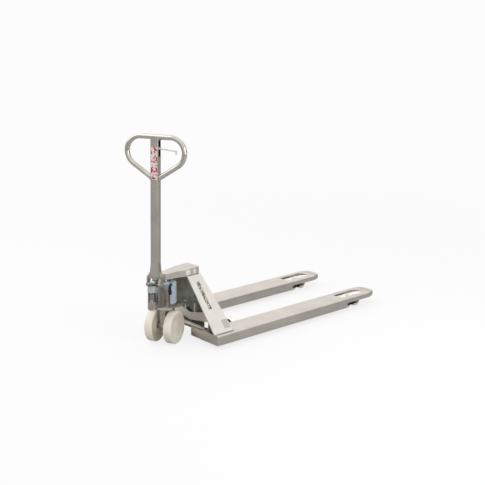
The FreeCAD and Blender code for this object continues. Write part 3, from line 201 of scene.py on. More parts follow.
def seam(name: str, path: Points, radius_mm: float = 3.0, closed: bool = False) -> bpy.types.Object:
    """A rippled weld bead along a path.

    The bead is a circle carried along the path. Its radius is the bead's radius times
    1 + 0.15 |sin(pi s / p)|, for s the distance along the path and p the ripple pitch of 1.5 radii.
    An open bead narrows to nothing at both ends, as sqrt(1 - (1 - d)^2) for d radii from the end.

    Args:
        name: the object's name.
        path: the bead's middle line, an array of n by 3 points in metres.
        radius_mm: the bead's radius.
        closed: whether the last point joins the first.

    Returns:
        The bead.
    """
    radius = radius_mm * MM
    ahead = np.roll(path, -1, axis=0) - np.roll(path, 1, axis=0)
    if not closed:
        ahead[0], ahead[-1] = path[1] - path[0], path[-1] - path[-2]
    ahead /= np.linalg.norm(ahead, axis=1, keepdims=True)
    around = np.cross(ahead, np.array([0.31, 0.17, 0.93]))
    around /= np.linalg.norm(around, axis=1, keepdims=True)
    over = np.cross(ahead, around)
    run = np.concatenate([[0], np.cumsum(np.linalg.norm(np.diff(path, axis=0), axis=1))])
    width = radius * (1 + 0.15 * np.abs(np.sin(math.pi * run / (1.5 * radius))))
    if not closed:
        near_end = np.clip(np.minimum(run, run[-1] - run) / radius, 0.02, 1)
        width = width * np.sqrt(1 - (1 - near_end) ** 2)
    angle = np.linspace(0, 2 * math.pi, 12, endpoint=False)
    circle = np.cos(angle)[None, :, None] * around[:, None] + np.sin(angle)[None, :, None] * over[:, None]
    return grid_mesh(name, path[:, None] + width[:, None, None] * circle, round_u=closed, round_v=True)


def straight(start: Place, end: Place, step_mm: float = 1.0) -> Points:
    """Evenly spaced points from start to end, in metres."""
    first, last = np.array(start), np.array(end)
    count = max(8, int(np.linalg.norm(last - first) / (step_mm * MM)))
    return first + np.linspace(0, 1, count)[:, None] * (last - first)


def film(name: str, size_mm: tuple[float, float], place: Matrix, thick_mm: float = 0.35) -> bpy.types.Object:
    """A thin film with rounded corners, lying in the local XY plane and facing local +Z.

    Each corner is a quarter circle of one tenth of the shorter side: centre + r (cos a, sin a).

    Args:
        name: the object's name.
        size_mm: its width and height.
        place: the local frame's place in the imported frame.
        thick_mm: how thick the film is.

    Returns:
        The film.
    """
    half = np.array(size_mm) * MM / 2
    radius = min(size_mm) * MM / 10
    turn = np.linspace(0, math.pi / 2, 6)
    corners_xy = []
    for quarter, (u, v) in enumerate(((1, 1), (-1, 1), (-1, -1), (1, -1))):
        angle = turn + quarter * math.pi / 2
        centre = np.array([u, v]) * (half - radius)
        corners_xy.append(centre + radius * np.stack([np.cos(angle), np.sin(angle)], axis=-1))
    ring = np.concatenate(corners_xy)
    levels = np.array([0.0, thick_mm * MM])
    points = np.stack([np.column_stack([ring, np.full(len(ring), level)]) for level in levels])
    piece = grid_mesh(name, moved(points, place), round_v=True)
    piece.data.polygons.foreach_set("use_smooth", np.zeros(len(piece.data.polygons), bool))
    return piece


def arc(
    centre: tuple[float, float], radius: float, start_deg: float, end_deg: float, steps: int = 6
) -> Profile:
    """Points of an arc in a profile: centre + radius (cos a, sin a)."""
    angles = np.radians(np.linspace(start_deg, end_deg, steps))
    return [(centre[0] + radius * math.cos(a), centre[1] + radius * math.sin(a)) for a in angles]


def finished(piece: bpy.types.Object, material: bpy.types.Material, body: str) -> bpy.types.Object:
    """Give a made piece its material and the body that it moves with.

    Args:
        piece: the made piece, in place at rest.
        material: its material.
        body: the body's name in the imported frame.

    Returns:
        The same piece.
    """
    piece.data.materials.append(material)
    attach(piece, body)
    LOG.info("made %s on %s in %s", piece.name, body, material.name)
    return piece


# Finishes -------------------------------------------------------------------------------------


class Lay(Enum):
    """The way a brushed or rolled grain runs."""

    ACROSS = (0.05, 1.0, 1.0)
    ALONG = (1.0, 0.05, 1.0)
    UPRIGHT = (1.0, 1.0, 0.05)
    EVEN = (1.0, 1.0, 1.0)


def grain(tree: bpy.types.NodeTree, size_mm: float, lay: Lay, detail: float = 4.0) -> bpy.types.NodeSocket:
    """Noise on Object coordinates whose cells are size_mm wide and drawn out along the lay.

    Args:
        tree: the material's node tree.
        size_mm: the width of one grain.
        lay: the way the grain runs.
        detail: how many finer layers the noise has.

    Returns:
        The noise's factor socket, about 0.5 with a spread of 0.2.
    """
    where = add_node(tree, "ShaderNodeTexCoord")
    drawn = add_node(tree, "ShaderNodeMapping", Vector=where.outputs["Object"], Scale=lay.value)
    noise = add_node(
        tree, "ShaderNodeTexNoise", Vector=drawn.outputs["Vector"], Scale=1 / (size_mm * MM), Detail=detail
    )
    return noise.outputs["Fac"]


def spread(
    tree: bpy.types.NodeTree, factor: bpy.types.NodeSocket, low: float, high: float
) -> bpy.types.NodeSocket:
    """Stretch the middle of a noise, 0.3 to 0.7, over low to high."""
    ranged = add_node(
        tree,
        "ShaderNodeMapRange",
        {"inputs": {"From Min": 0.3, "From Max": 0.7, "To Min": low, "To Max": high}},
        Value=factor,
    )
    return ranged.outputs["Result"]


def blended(
    tree: bpy.types.NodeTree, factor: bpy.types.NodeSocket, first: str, second: str
) -> bpy.types.NodeSocket:
    """Mix two hex colours by a factor."""
    mix = add_node(
        tree,
        "ShaderNodeMix",
        {"data_type": "RGBA", "inputs": {6: linear(first), 7: linear(second)}},
        Factor=factor,
    )
    return mix.outputs[2]


def bumped(tree: bpy.types.NodeTree, height: bpy.types.NodeSocket, depth_mm: float) -> bpy.types.NodeSocket:
    """A bump of depth_mm from a height of 0 to 1."""
    bump = add_node(tree, "ShaderNodeBump", Height=height, Strength=1.0, Distance=depth_mm * MM)
    return bump.outputs["Normal"]


@dataclass(frozen=True)
class Finish:
    """A surface with two mottled colours, a grain, a roughness band and a bump.

    The colours mix by a coarse mottle, the roughness and the bump follow the grain.
    """

    name: str
    pale: str
    dark: str
    mottle_mm: float
    grain_mm: float
    lay: Lay
    rough: tuple[float, float]
    depth_mm: float
    metallic: float = 0.0
    extra: tuple[tuple[str, float], ...] = ()

    def build(self) -> bpy.types.Material:
        """Make the material.

        Returns:
            The material, built once and kept by name.
        """
        found = bpy.data.materials.get(self.name)
        if found:
            return found
        material = bpy.data.materials.new(self.name)
        material.use_nodes = True
        tree = material.node_tree
        tree.nodes.clear()
        mottle = spread(tree, grain(tree, self.mottle_mm, Lay.EVEN), 0, 1)
        fine = grain(tree, self.grain_mm, self.lay)
        shader = add_node(
            tree,
            "ShaderNodeBsdfPrincipled",
            {"inputs": dict(self.extra)},
            Base_Color=blended(tree, mottle, self.dark, self.pale),
            Metallic=self.metallic,
            Roughness=spread(tree, fine, *self.rough),
            Normal=bumped(tree, fine, self.depth_mm),
        )
        add_node(tree, "ShaderNodeOutputMaterial", Surface=shader.outputs["BSDF"])
        return material


# Rolled and bead-blasted stainless sheet: a warm silver with a soft, even sheen and cloudy patches.
SHEET = Finish(
    "stainless_sheet",
    pale="#DDD8D2",
    dark="#D0CAC4",
    mottle_mm=110,
    grain_mm=3.0,
    lay=Lay.ALONG,
    rough=(0.30, 0.40),
    depth_mm=0.012,
    metallic=1.0,
)
# The same steel brushed across the slope of the struts, made paler with painted light where the struts face
# up to the lamps.
STRUT_SHEET = Finish(
    "stainless_strut_painted_light",
    pale="#ECE9E4",
    dark="#E0DCD6",
    mottle_mm=90,
    grain_mm=3.0,
    lay=Lay.ACROSS,
    rough=(0.32, 0.42),
    depth_mm=0.012,
    metallic=1.0,
)
# Drawn square tube, brushed along its length, a little darker and smoother.
TUBE = Finish(
    "stainless_square_tube",
    pale="#D0CDC8",
    dark="#C0BCB7",
    mottle_mm=80,
    grain_mm=2.5,
    lay=Lay.UPRIGHT,
    rough=(0.28, 0.38),
    depth_mm=0.010,
    metallic=1.0,
)
# Polished round tube: bright lines where it turns to the light.
LOOP = Finish(
    "stainless_round_tube",
    pale="#DDDAD5",
    dark="#CBC8C2",
    mottle_mm=60,
    grain_mm=2.5,
    lay=Lay.EVEN,
    rough=(0.12, 0.20),
    depth_mm=0.006,
    metallic=1.0,
)
# Weld beads left as welded: dull, heat-tinted silver.
WELD = Finish(
    "weld_bead_steel",
    pale="#B4AEA4",
    dark="#8F877A",
    mottle_mm=12,
    grain_mm=3.0,
    lay=Lay.EVEN,
    rough=(0.35, 0.55),
    depth_mm=0.1,
    metallic=1.0,
)
# Sheet darkened with painted shade, for the parts that lie in the shade of the frame.
SHADED_SHEET = Finish(
    "stainless_sheet_painted_shade",
    pale="#9DA199",
    dark="#848880",
    mottle_mm=55,
    grain_mm=3.0,
    lay=Lay.UPRIGHT,
    rough=(0.40, 0.55),
    depth_mm=0.02,
    metallic=1.0,
)
# Stainless investment casting: a coarse, pinkish beige skin.
CASTING = Finish(
    "cast_stainless",
    pale="#CBC6BE",
    dark="#A8A29A",
    mottle_mm=24,
    grain_mm=2.2,
    lay=Lay.EVEN,
    rough=(0.34, 0.52),
    depth_mm=0.10,
    metallic=1.0,
)
# Bright zinc plate on turned and stamped parts.
ZINC = Finish(
    "zinc_plated_steel",
    pale="#C2CACC",
    dark="#A2ACAF",
    mottle_mm=18,
    grain_mm=1.6,
    lay=Lay.EVEN,
    rough=(0.22, 0.36),
    depth_mm=0.02,
    metallic=1.0,
)
# Pale blue-grey on the oil tank and its cap: a painted reflection that stands in for the bright sheen of the
# plated tank.
TANK_PAINTED_REFLECTION = Finish(
    "blue_grey_painted_reflection",
    pale="#BFCBDA",
    dark="#AEBBCB",
    mottle_mm=40,
    grain_mm=1.8,
    lay=Lay.EVEN,
    rough=(0.26, 0.38),
    depth_mm=0.02,
)
# Ground and hard-chromed rod.
CHROME = Finish(
    "hard_chrome",
    pale="#E2E6E8",
    dark="#D4D9DC",
    mottle_mm=30,
    grain_mm=1.2,
    lay=Lay.EVEN,
    rough=(0.08, 0.14),
    depth_mm=0.004,
    metallic=1.0,
)
# Dark steel for the links and the linkage under the frame: painted shade, for the shade that falls under the
# forks.
DARK_STEEL_PAINTED_SHADE = Finish(
    "dark_steel_painted_shade",
    pale="#44443F",
    dark="#2F302C",
    mottle_mm=25,
    grain_mm=2.0,
    lay=Lay.EVEN,
    rough=(0.38, 0.55),
    depth_mm=0.05,
    metallic=1.0,
)
# Oil-hardened spring wire with a dark shine.
SPRING_WIRE = Finish(
    "spring_steel",
    pale="#8A9294",
    dark="#666E70",
    mottle_mm=14,
    grain_mm=1.4,
    lay=Lay.EVEN,
    rough=(0.20, 0.32),
    depth_mm=0.02,
    metallic=1.0,
)
# Cast polyamide: waxy cream that light enters a little way.
NYLON = Finish(
    "cast_nylon",
    pale="#F6F2E8",
    dark="#EAE3D2",
    mottle_mm=60,
    grain_mm=2.4,
    lay=Lay.EVEN,
    rough=(0.38, 0.52),
    depth_mm=0.06,
    extra=(("Subsurface Weight", 0.25), ("Subsurface Scale", 0.006)),
)
# Glass-filled nylon of the release lever and the lever's housing: matt black from a fine mould.
BLACK_MOULDING = Finish(
    "moulded_black_nylon",
    pale="#26282A",
    dark="#17191A",
    mottle_mm=20,
    grain_mm=1.4,
    lay=Lay.EVEN,
    rough=(0.40, 0.55),
    depth_mm=0.04,
)
# Moulded acetal of the control lever: plain, faintly warm white.
WHITE_MOULDING = Finish(
    "moulded_white_acetal",
    pale="#ECECE6",
    dark="#DEDED6",
    mottle_mm=20,
    grain_mm=1.4,
    lay=Lay.EVEN,
    rough=(0.35, 0.45),
    depth_mm=0.02,
)


@dataclass(frozen=True)
class PrintedFilm:
    """Printed film: coarse patches of ink on a paler ground that say nothing."""

    name: str = "printed_label_film"
    paper: str = "#EAE0DE"
    ink: str = "#C4445A"
    block_mm: float = 14.0
    cover: float = 0.5

    def build(self) -> bpy.types.Material:
        """Make the film: noise on Object coordinates, cut sharply into paper and ink.

        Returns:
            The material, built once and kept by name.
        """
        found = bpy.data.materials.get(self.name)
        if found:
            return found
        material = bpy.data.materials.new(self.name)
        material.use_nodes = True
        tree = material.node_tree
        tree.nodes.clear()
        blocks = grain(tree, self.block_mm, Lay.EVEN, 1.0)
        soft = 0.02
        edge = {"From Min": self.cover - soft, "From Max": self.cover + soft, "To Min": 0.0, "To Max": 1.0}
        step = add_node(tree, "ShaderNodeMapRange", {"inputs": edge}, Value=blocks)
        shader = add_node(
            tree,
            "ShaderNodeBsdfPrincipled",
            Base_Color=blended(tree, step.outputs["Result"], self.paper, self.ink),
            Roughness=0.35,
        )
        add_node(tree, "ShaderNodeOutputMaterial", Surface=shader.outputs["BSDF"])
        return material


# Red and white film on the front of the handle.
GRIP_FILM = PrintedFilm()
# White film on the side of the head, with faint stains and no ink.
BLANK_FILM = PrintedFilm("blank_white_film", paper="#EFEDEE", ink="#E3DDDF", block_mm=9.0)
# Steel-coloured film on the near strut, with dark grey marks.
MARKED_FILM = PrintedFilm("grey_marked_film", paper="#C2C1B9", ink="#50544C", block_mm=10.0, cover=0.52)


# The CAD model's own pieces -------------------------------------------------------------------


def edge_softener(gap: float = 2e-6, sharp_deg: float = 28) -> bpy.types.NodeTree:
    """A node group that merges loose triangles and shades them smooth except across sharp edges.

    Args:
        gap: how near, in metres, points are to be merged.
        sharp_deg: the least angle between two faces that stays a sharp edge.

    Returns:
        The geometry node group.
    """
    tree = bpy.data.node_groups.new("merge_and_smooth", "GeometryNodeTree")
    tree.interface.new_socket("Geometry", in_out="INPUT", socket_type="NodeSocketGeometry")
    tree.interface.new_socket("Geometry", in_out="OUTPUT", socket_type="NodeSocketGeometry")
    inside = add_node(tree, "NodeGroupInput")
    merged = add_node(
        tree, "GeometryNodeMergeByDistance", Geometry=inside.outputs["Geometry"], Distance=gap
    )
    smooth = add_node(
        tree,
        "GeometryNodeSetShadeSmooth",
        {"domain": "FACE", "inputs": {"Geometry": merged.outputs["Geometry"], "Shade Smooth": True}},
    )
    angle = add_node(tree, "GeometryNodeInputMeshEdgeAngle")
    sharp = add_node(
        tree,
        "FunctionNodeCompare",
        {"data_type": "FLOAT", "operation": "GREATER_THAN", "inputs": {1: math.radians(sharp_deg)}},
        A=angle.outputs["Unsigned Angle"],
    )
    creased = add_node(
        tree,
        "GeometryNodeSetShadeSmooth",
        {
            "domain": "EDGE",
            "inputs": {
                "Geometry": smooth.outputs["Geometry"],
                "Selection": sharp.outputs["Result"],
                "Shade Smooth": False,
            },
        },
    )
    add_node(tree, "NodeGroupOutput", Geometry=creased.outputs["Geometry"])
    return tree


@dataclass
class CadDressing:
    """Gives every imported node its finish, merged faces and a small broken edge."""

    nodes: dict[str, bpy.types.Object]
    broken_edge_mm: float = 0.9
    broken_from_deg: float = 40.0

    def table(self) -> dict[str, Finish]:
        """Which finish each node takes.

        Returns:
            Node name to finish; a name ending in * stands for every node that starts so.
        """
        return {
            "fork_*": SHEET,
            "end_plates": SHEET,
            "head_box": SHEET,
            "strut_*": STRUT_SHEET,
            "wing_plates": SHEET,
            "cross_stay": CASTING,
            "cross_shaft": ZINC,
            "bulkhead": SHADED_SHEET,
            "bulkhead_bolt": ZINC,
            "rating_plate": TUBE,
            "lift_bracket": STRUT_SHEET,
            "rocker": DARK_STEEL_PAINTED_SHADE,
            "roller_yoke_*": DARK_STEEL_PAINTED_SHADE,
            "push_rod_*": DARK_STEEL_PAINTED_SHADE,
            "bogie_*": DARK_STEEL_PAINTED_SHADE,
            "pump_body": CASTING,
            "wheel_carrier": CASTING,
            "tiller_yoke": CASTING,
            "valve_block": CASTING,
            "oil_tank": TANK_PAINTED_REFLECTION,
            "tank_cap": TANK_PAINTED_REFLECTION,
            "thrust_washer": ZINC,
            "gland_ring": ZINC,
            "lift_cylinder": ZINC,
            "ram": CHROME,
            "ram_seat": SHADED_SHEET,
            "pump_plunger": CHROME,
            "plunger_disc": ZINC,
            "plunger_spring": SPRING_WIRE,
            "handle_tube": TUBE,
            "handle_loop": LOOP,
            "release_lever": BLACK_MOULDING,
            "lever_housing": BLACK_MOULDING,
            "control_lever": WHITE_MOULDING,
            "steer_wheel_*": NYLON,
            "wheel_cap_*": NYLON,
            "load_roller_*": NYLON,
        }

    def finish_of(self, name: str) -> Finish:
        """The finish of one node, zinc plate where the table has none."""
        for pattern, finish in self.table().items():
            if name == pattern or (pattern.endswith("*") and name.startswith(pattern[:-1])):
                return finish
        return ZINC

    def build(self) -> None:
        """Dress every node."""
        group = edge_softener()
        rounded = {"plunger_spring", "handle_loop", "grip_label", "rating_plate", "thrust_washer"}
        for name, node in self.nodes.items():
            material = GRIP_FILM.build() if name == "grip_label" else self.finish_of(name).build()
            node.data.materials.clear()
            node.data.materials.append(material)
            merge = node.modifiers.new("merge", "NODES")
            merge.node_group = group
            if name not in rounded:
                bevel = node.modifiers.new("broken_edge", "BEVEL")
                bevel.width = self.broken_edge_mm * MM
                bevel.segments = 2
                bevel.limit_method = "ANGLE"
                bevel.angle_limit = math.radians(self.broken_from_deg)
                bevel.harden_normals = True
            LOG.info("dressed %s in %s", name, material.name)


# Made pieces ----------------------------------------------------------------------------------


def centre_of(node: str) -> Vector:
    """The middle of a CAD node's box, in metres."""
    low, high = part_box(node)
    return (Vector(low) + Vector(high)) / 2


@dataclass
class SteerWheels:
    """The two cast nylon wheels, each with a rounded tread, a dished outer face and a hub inside."""

    steer_deg: float = 25.9
    half_width: float = 25.0
    radius: float = 100.0
    bore: float = 23.6
    web: float = 18.0
    edge: float = 5.0
    land: float = 3.0
    dish_from: float = 56.0
    dish_to: float = 90.0
    rings: tuple[float, ...] = (40.0, 84.0)
    ring_depth: float = 0.6
    ring_width: float = 1.1
    rim_lip: float = 8.0
    rim_slope: float = 20.0
    hub_foot: float = 48.0
    hub_edge: float = 40.0
    hub_face: float = 36.0
    hub_chamfer: float = 1.0

    def dish(self) -> Profile:
        """The outer face from the bore to the rim.

        x = web + (half width - web) s, with s = t^2 (3 - 2 t) and t the share of the way from
        dish_from to dish_to; the mould leaves shallow rings, each a bell curve
        depth exp(-((r - ring) / width)^2).

        Returns:
            The profile as (x, radius) in millimetres.
        """
        radii = np.linspace(self.bore, self.radius - self.edge - self.land, 60)
        share = np.clip((radii - self.dish_from) / (self.dish_to - self.dish_from), 0, 1)
        x = self.web + (self.half_width - self.web) * share**2 * (3 - 2 * share)
        for ring in self.rings:
            x = x - self.ring_depth * np.exp(-(((radii - ring) / self.ring_width) ** 2))
        return list(zip(x, radii))

    def profile(self) -> Profile:
        """The whole closed profile, outer face first."""
        half, rim, edge = self.half_width, self.radius - self.edge, self.edge
        outer = self.dish() + arc((half - edge, rim), edge, 0, 90)
        inner = arc((edge - half, rim), edge, 90, 180)
        inner += [(-half, rim - self.rim_lip), (-self.web, rim - self.rim_slope)]
        hub = [(-self.web, self.hub_foot), (self.hub_chamfer - half, self.hub_edge)]
        hub += [(-half, self.hub_face), (-half, self.bore)]
        return outer + inner + hub

    def build(self) -> None:
        """Turn both wheels and put them in place of the CAD ones."""
        turn = Matrix.Rotation(math.radians(self.steer_deg), 4, "Z")
        for side, sign in (("right", 1), ("left", -1)):
            node = f"steer_wheel_{side}"
            outline = [(sign * x, r) for x, r in self.profile()]
            place = Matrix.Translation(centre_of(node)) @ turn
            wheel = lathe(f"nylon_wheel_{side}", outline, place, turns=160)
            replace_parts(finished(wheel, NYLON.build(), f"wheel_{side}"), node)


@dataclass
class LoadRollers:
    """The four tandem rollers: nylon tubes with rounded ends and a shallow lead-in at the bore."""

    half_width: float = 35.0
    radius: float = 37.0
    bore: float = 8.1
    edge: float = 4.0
    mouth: float = 16.0
    lead: float = 2.0

    def build(self) -> None:
        """Turn each roller and put it in place of the CAD one."""
        half, rim, edge, lead = self.half_width, self.radius - self.edge, self.edge, self.lead
        outline = arc((half - edge, rim), edge, 0, 90) + arc((edge - half, rim), edge, 90, 180)
        outline += [(-half, self.mouth), (lead - half, self.mouth - lead), (lead - half, self.bore)]
        outline += [(half - lead, self.bore), (half - lead, self.mouth - lead), (half, self.mouth)]
        for side in ("right", "left"):
            for place in ("front", "rear"):
                node = f"load_roller_{place}_{side}"
                spot = Matrix.Translation(centre_of(node))
                roller = lathe(f"nylon_roller_{place}_{side}", outline, spot)
                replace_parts(finished(roller, NYLON.build(), f"roller_{place}_{side}"), node)


@dataclass
class PlungerSpring:
    """The coil spring under the plunger's head, which shortens as the plunger goes down."""

    coil_radius: float = 23.0
    wire_radius: float = 2.45
    turns: float = 4.0
    stroke: float = 35.91
    spare: float = 0.6

    def build(self) -> None:
        """Wind the spring and put it in place of the CAD one.

        The wire's middle is at (R cos a, R sin a, h a / (2 pi n)) for a from 0 to 2 pi n, with R the
        coil's radius, h the height between the middles of the end turns and n the turns.
        """
        low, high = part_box("plunger_spring")
        middle = np.array(centre_of("plunger_spring"))
        height = (high[2] - low[2]) / MM
        angle = np.linspace(0, 2 * math.pi * self.turns, int(72 * self.turns))
        around = np.linspace(0, 2 * math.pi, 14, endpoint=False)
        out = np.stack([np.cos(angle), np.sin(angle), np.zeros_like(angle)], axis=-1)
        rise = self.wire_radius + (height - 2 * self.wire_radius) * angle / angle[-1]
        reach = self.coil_radius + self.wire_radius * np.cos(around)
        points = out[:, None] * reach[None, :, None]
        points[:, :, 2] = rise[:, None] + self.wire_radius * np.sin(around)[None, :]
        foot = np.array([middle[0], middle[1], low[2]])
        coil = grid_mesh("plunger_coil", foot + points * MM, round_v=True)
        spring = finished(coil, SPRING_WIRE.build(), "pump")
        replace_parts(spring, "plunger_spring")
        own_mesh(spring)


@dataclass
class FrameWelds:
    """Beads of the welded frame.

    They run where the struts and the bulkhead meet the forks, where the struts meet the head, and
    round the ends of the stay. Places are in metres, beads in millimetres.
    """

    foot_x: float = 0.3172
    foot_z: float = 0.0862
    foot_depth: float = 0.146
    foot_wall: float = 0.0165
    foot_bead: float = 2.6
    top_x: float = 0.0572
    top_z: float = 0.3965
    top_depth: float = 0.090
    top_bead: float = 1.6
    ledge_start: float = 0.197
    ledge_end: float = 0.297
    ledge_bead: float = 2.4
    stay_ring: float = 0.0165
    stay_bead: float = 2.2
    set_in: float = 0.002
    lap: float = 0.0005

    def along(self, side: int, x: float, z: float, depth: float) -> Points:
        """A level line from the front of a strut backwards, on the side given by 1 or -1."""
        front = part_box("strut_right")[0][1]
        return straight((side * x, front + self.set_in, z), (side * x, front + depth, z))

    def ledge(self, side: int) -> Points:
        """The foot of the bulkhead across the top of one fork."""
        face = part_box("bulkhead")[0][1] - self.lap
        start = (side * self.ledge_start, face, self.foot_z)
        return straight(start, (side * self.ledge_end, face, self.foot_z))

    def ring(self, side: int) -> Points:
        """The ring round one end of the stay: y = R cos a, z = R sin a about the stay's middle line."""
        turn = np.linspace(0, 2 * math.pi, 120, endpoint=False)
        middle = centre_of("cross_stay")
        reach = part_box("cross_stay")[1][0] - 2 * self.lap
        x = np.full_like(turn, side * reach)
        y = middle.y + self.stay_ring * np.cos(turn)
        z = middle.z + self.stay_ring * np.sin(turn)
        return np.stack([x, y, z], axis=-1)

    def build(self) -> None:
        """Lay every bead on both sides."""
        for side, sign in (("right", 1), ("left", -1)):
            outer = self.along(sign, self.foot_x, self.foot_z, self.foot_depth)
            inner = outer - np.array([sign * self.foot_wall, 0, self.lap])
            top = self.along(sign, self.top_x, self.top_z, self.top_depth)
            beads = (
                ("bulkhead", self.ledge(sign), self.ledge_bead),
                ("foot_outer", outer, self.foot_bead),
                ("foot_inner", inner, self.foot_bead),
                ("strut_top", top, self.top_bead),
                ("stay", self.ring(sign), self.stay_bead),
            )
            for name, path, bead in beads:
                laid = seam(f"weld_{name}_{side}", path, bead, closed=name == "stay")
                finished(laid, WELD.build(), "chassis")


@dataclass
class HandleWelds:
    """The bead round each leg of the loop where it meets the square tube."""

    steer_deg: float = 25.9
    lean_deg: float = 2.5
    offset_y: float = 10.5
    half_tube: float = 25.2
    leg_height: float = 637.0
    half_across: float = 15.6
    half_tall: float = 18.4
    bead: float = 2.2

    def build(self) -> None:
        """Lay both rings, in the handle's own frame on the tiller pin.

        Each ring is an ellipse: y = offset + A cos a, z = height + B sin a, on a face of the tube.
        """
        pin = centre_of("tiller_pin")
        steer = Matrix.Rotation(math.radians(self.steer_deg), 4, "Z")
        lean = Matrix.Rotation(math.radians(-self.lean_deg), 4, "X")
        place = Matrix.Translation(pin) @ steer @ lean
        turn = np.linspace(0, 2 * math.pi, 130, endpoint=False)
        for side, sign in (("right", 1), ("left", -1)):
            ring = np.stack(
                [
                    np.full_like(turn, sign * self.half_tube),
                    self.offset_y + self.half_across * np.cos(turn),
                    self.leg_height + self.half_tall * np.sin(turn),
                ],
                axis=-1,
            )
            laid = seam(f"weld_loop_leg_{side}", moved(ring * MM, place), self.bead, closed=True)
            finished(laid, WELD.build(), "handle")


@dataclass
class Films:
    """The thin films: two blank ones on the side of the head and a marked one on the near strut.

    Places are in metres, sizes of films in millimetres.
    """

    head_x: float = 0.0560
    head_z: float = 0.418
    head_height: float = 30.0
    head_widths: tuple[tuple[str, float, float], ...] = (("front", 0.008, 34.0), ("back", 0.058, 18.0))
    strut_size: tuple[float, float] = (24.0, 190.0)
    strut_top: Place = (0.056, 0.055, 0.396)
    strut_foot: tuple[float, float] = (0.316, 0.085)
    strut_down: float = 0.112
    lift: float = 0.0001

    def on_head(self, facing: Matrix) -> None:
        """Stick the blank films on the flat side of the head."""
        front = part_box("strut_right")[0][1]
        for name, behind, width in self.head_widths:
            place = Matrix.Translation((self.head_x, front + behind, self.head_z)) @ facing
            piece = film(f"film_head_{name}", (width, self.head_height), place)
            finished(piece, BLANK_FILM.build(), "chassis")

    def on_strut(self, facing: Matrix) -> None:
        """Stick the marked film on the slope of the near strut, a given height below its top."""
        top_x, behind, top_z = self.strut_top
        foot_x, foot_z = self.strut_foot
        slope = math.atan2(foot_x - top_x, top_z - foot_z)
        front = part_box("strut_right")[0][1]
        spot = Vector((top_x + self.strut_down * math.tan(slope), front + behind, top_z - self.strut_down))
        spot += Vector((math.cos(slope), 0, math.sin(slope))) * self.lift
        leaning = Matrix.Translation(spot) @ Matrix.Rotation(-slope, 4, "Y") @ facing
        finished(film("film_strut", self.strut_size, leaning), MARKED_FILM.build(), "chassis")

    def build(self) -> None:
        """Stick each film on its face; facing turns a film from lying flat to standing towards +X."""
        facing = Matrix.Rotation(math.radians(90), 4, "Z") @ Matrix.Rotation(math.radians(90), 4, "X")
        self.on_head(facing)
        self.on_strut(facing)


@dataclass
class TankScrews:
    """Four socket screws in the lid of the oil tank."""

    count: int = 4
    first_deg: float = 20.0
    pitch_radius: float = 56.0
    head_radius: float = 5.0
    head_height: float = 4.5
    head_edge: float = 0.8
    socket_radius: float = 2.4
    socket_depth: float = 2.4
    socket_cone: float = 0.2
    sunk: float = 0.5

    def build(self) -> None:
        """Turn the screws and set them evenly round the lid."""
        middle = centre_of("tank_cap")
        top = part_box("gland_ring")[0][2]
        upright = Matrix.Rotation(math.radians(-90), 4, "Y")
        head, edge, height, socket = self.head_radius, self.head_edge, self.head_height, self.socket_radius
        floor = height - self.socket_depth
        outline = [(-self.sunk, 0.0), (-self.sunk, head), (height - edge, head), (height, head - edge)]
        outline += [(height, socket), (floor, socket), (floor - self.socket_cone, 0.0)]
        for index in range(self.count):
            angle = math.radians(self.first_deg + 360 / self.count * index)
            out = Vector((math.cos(angle), math.sin(angle), 0)) * self.pitch_radius * MM
            place = Matrix.Translation(Vector((middle.x, middle.y, top)) + out) @ upright
            screw = lathe(f"tank_screw_{index + 1}", outline, place, turns=32)
            finished(screw, ZINC.build(), "pump")


# Studio ---------------------------------------------------------------------------------------


@dataclass(frozen=True)
class Lamp:
    """A square soft lamp: its place and side in metres and its power in watts."""

    name: str
    place: Place
    side: float
    power: float
    aim: Place = (0.0, 0.0, 0.3)

    def hang(self) -> None:
        """Hang the lamp, turned to the middle of the truck."""
        data = bpy.data.lights.new(self.name, "AREA")
        data.shape = "SQUARE"
        data.size = self.side
        data.energy = self.power
        lamp = bpy.data.objects.new(self.name, data)
        lamp.location = self.place
        lamp.rotation_euler = (Vector(self.aim) - Vector(self.place)).to_track_quat("-Z", "Y").to_euler()
        bpy.context.scene.collection.objects.link(lamp)


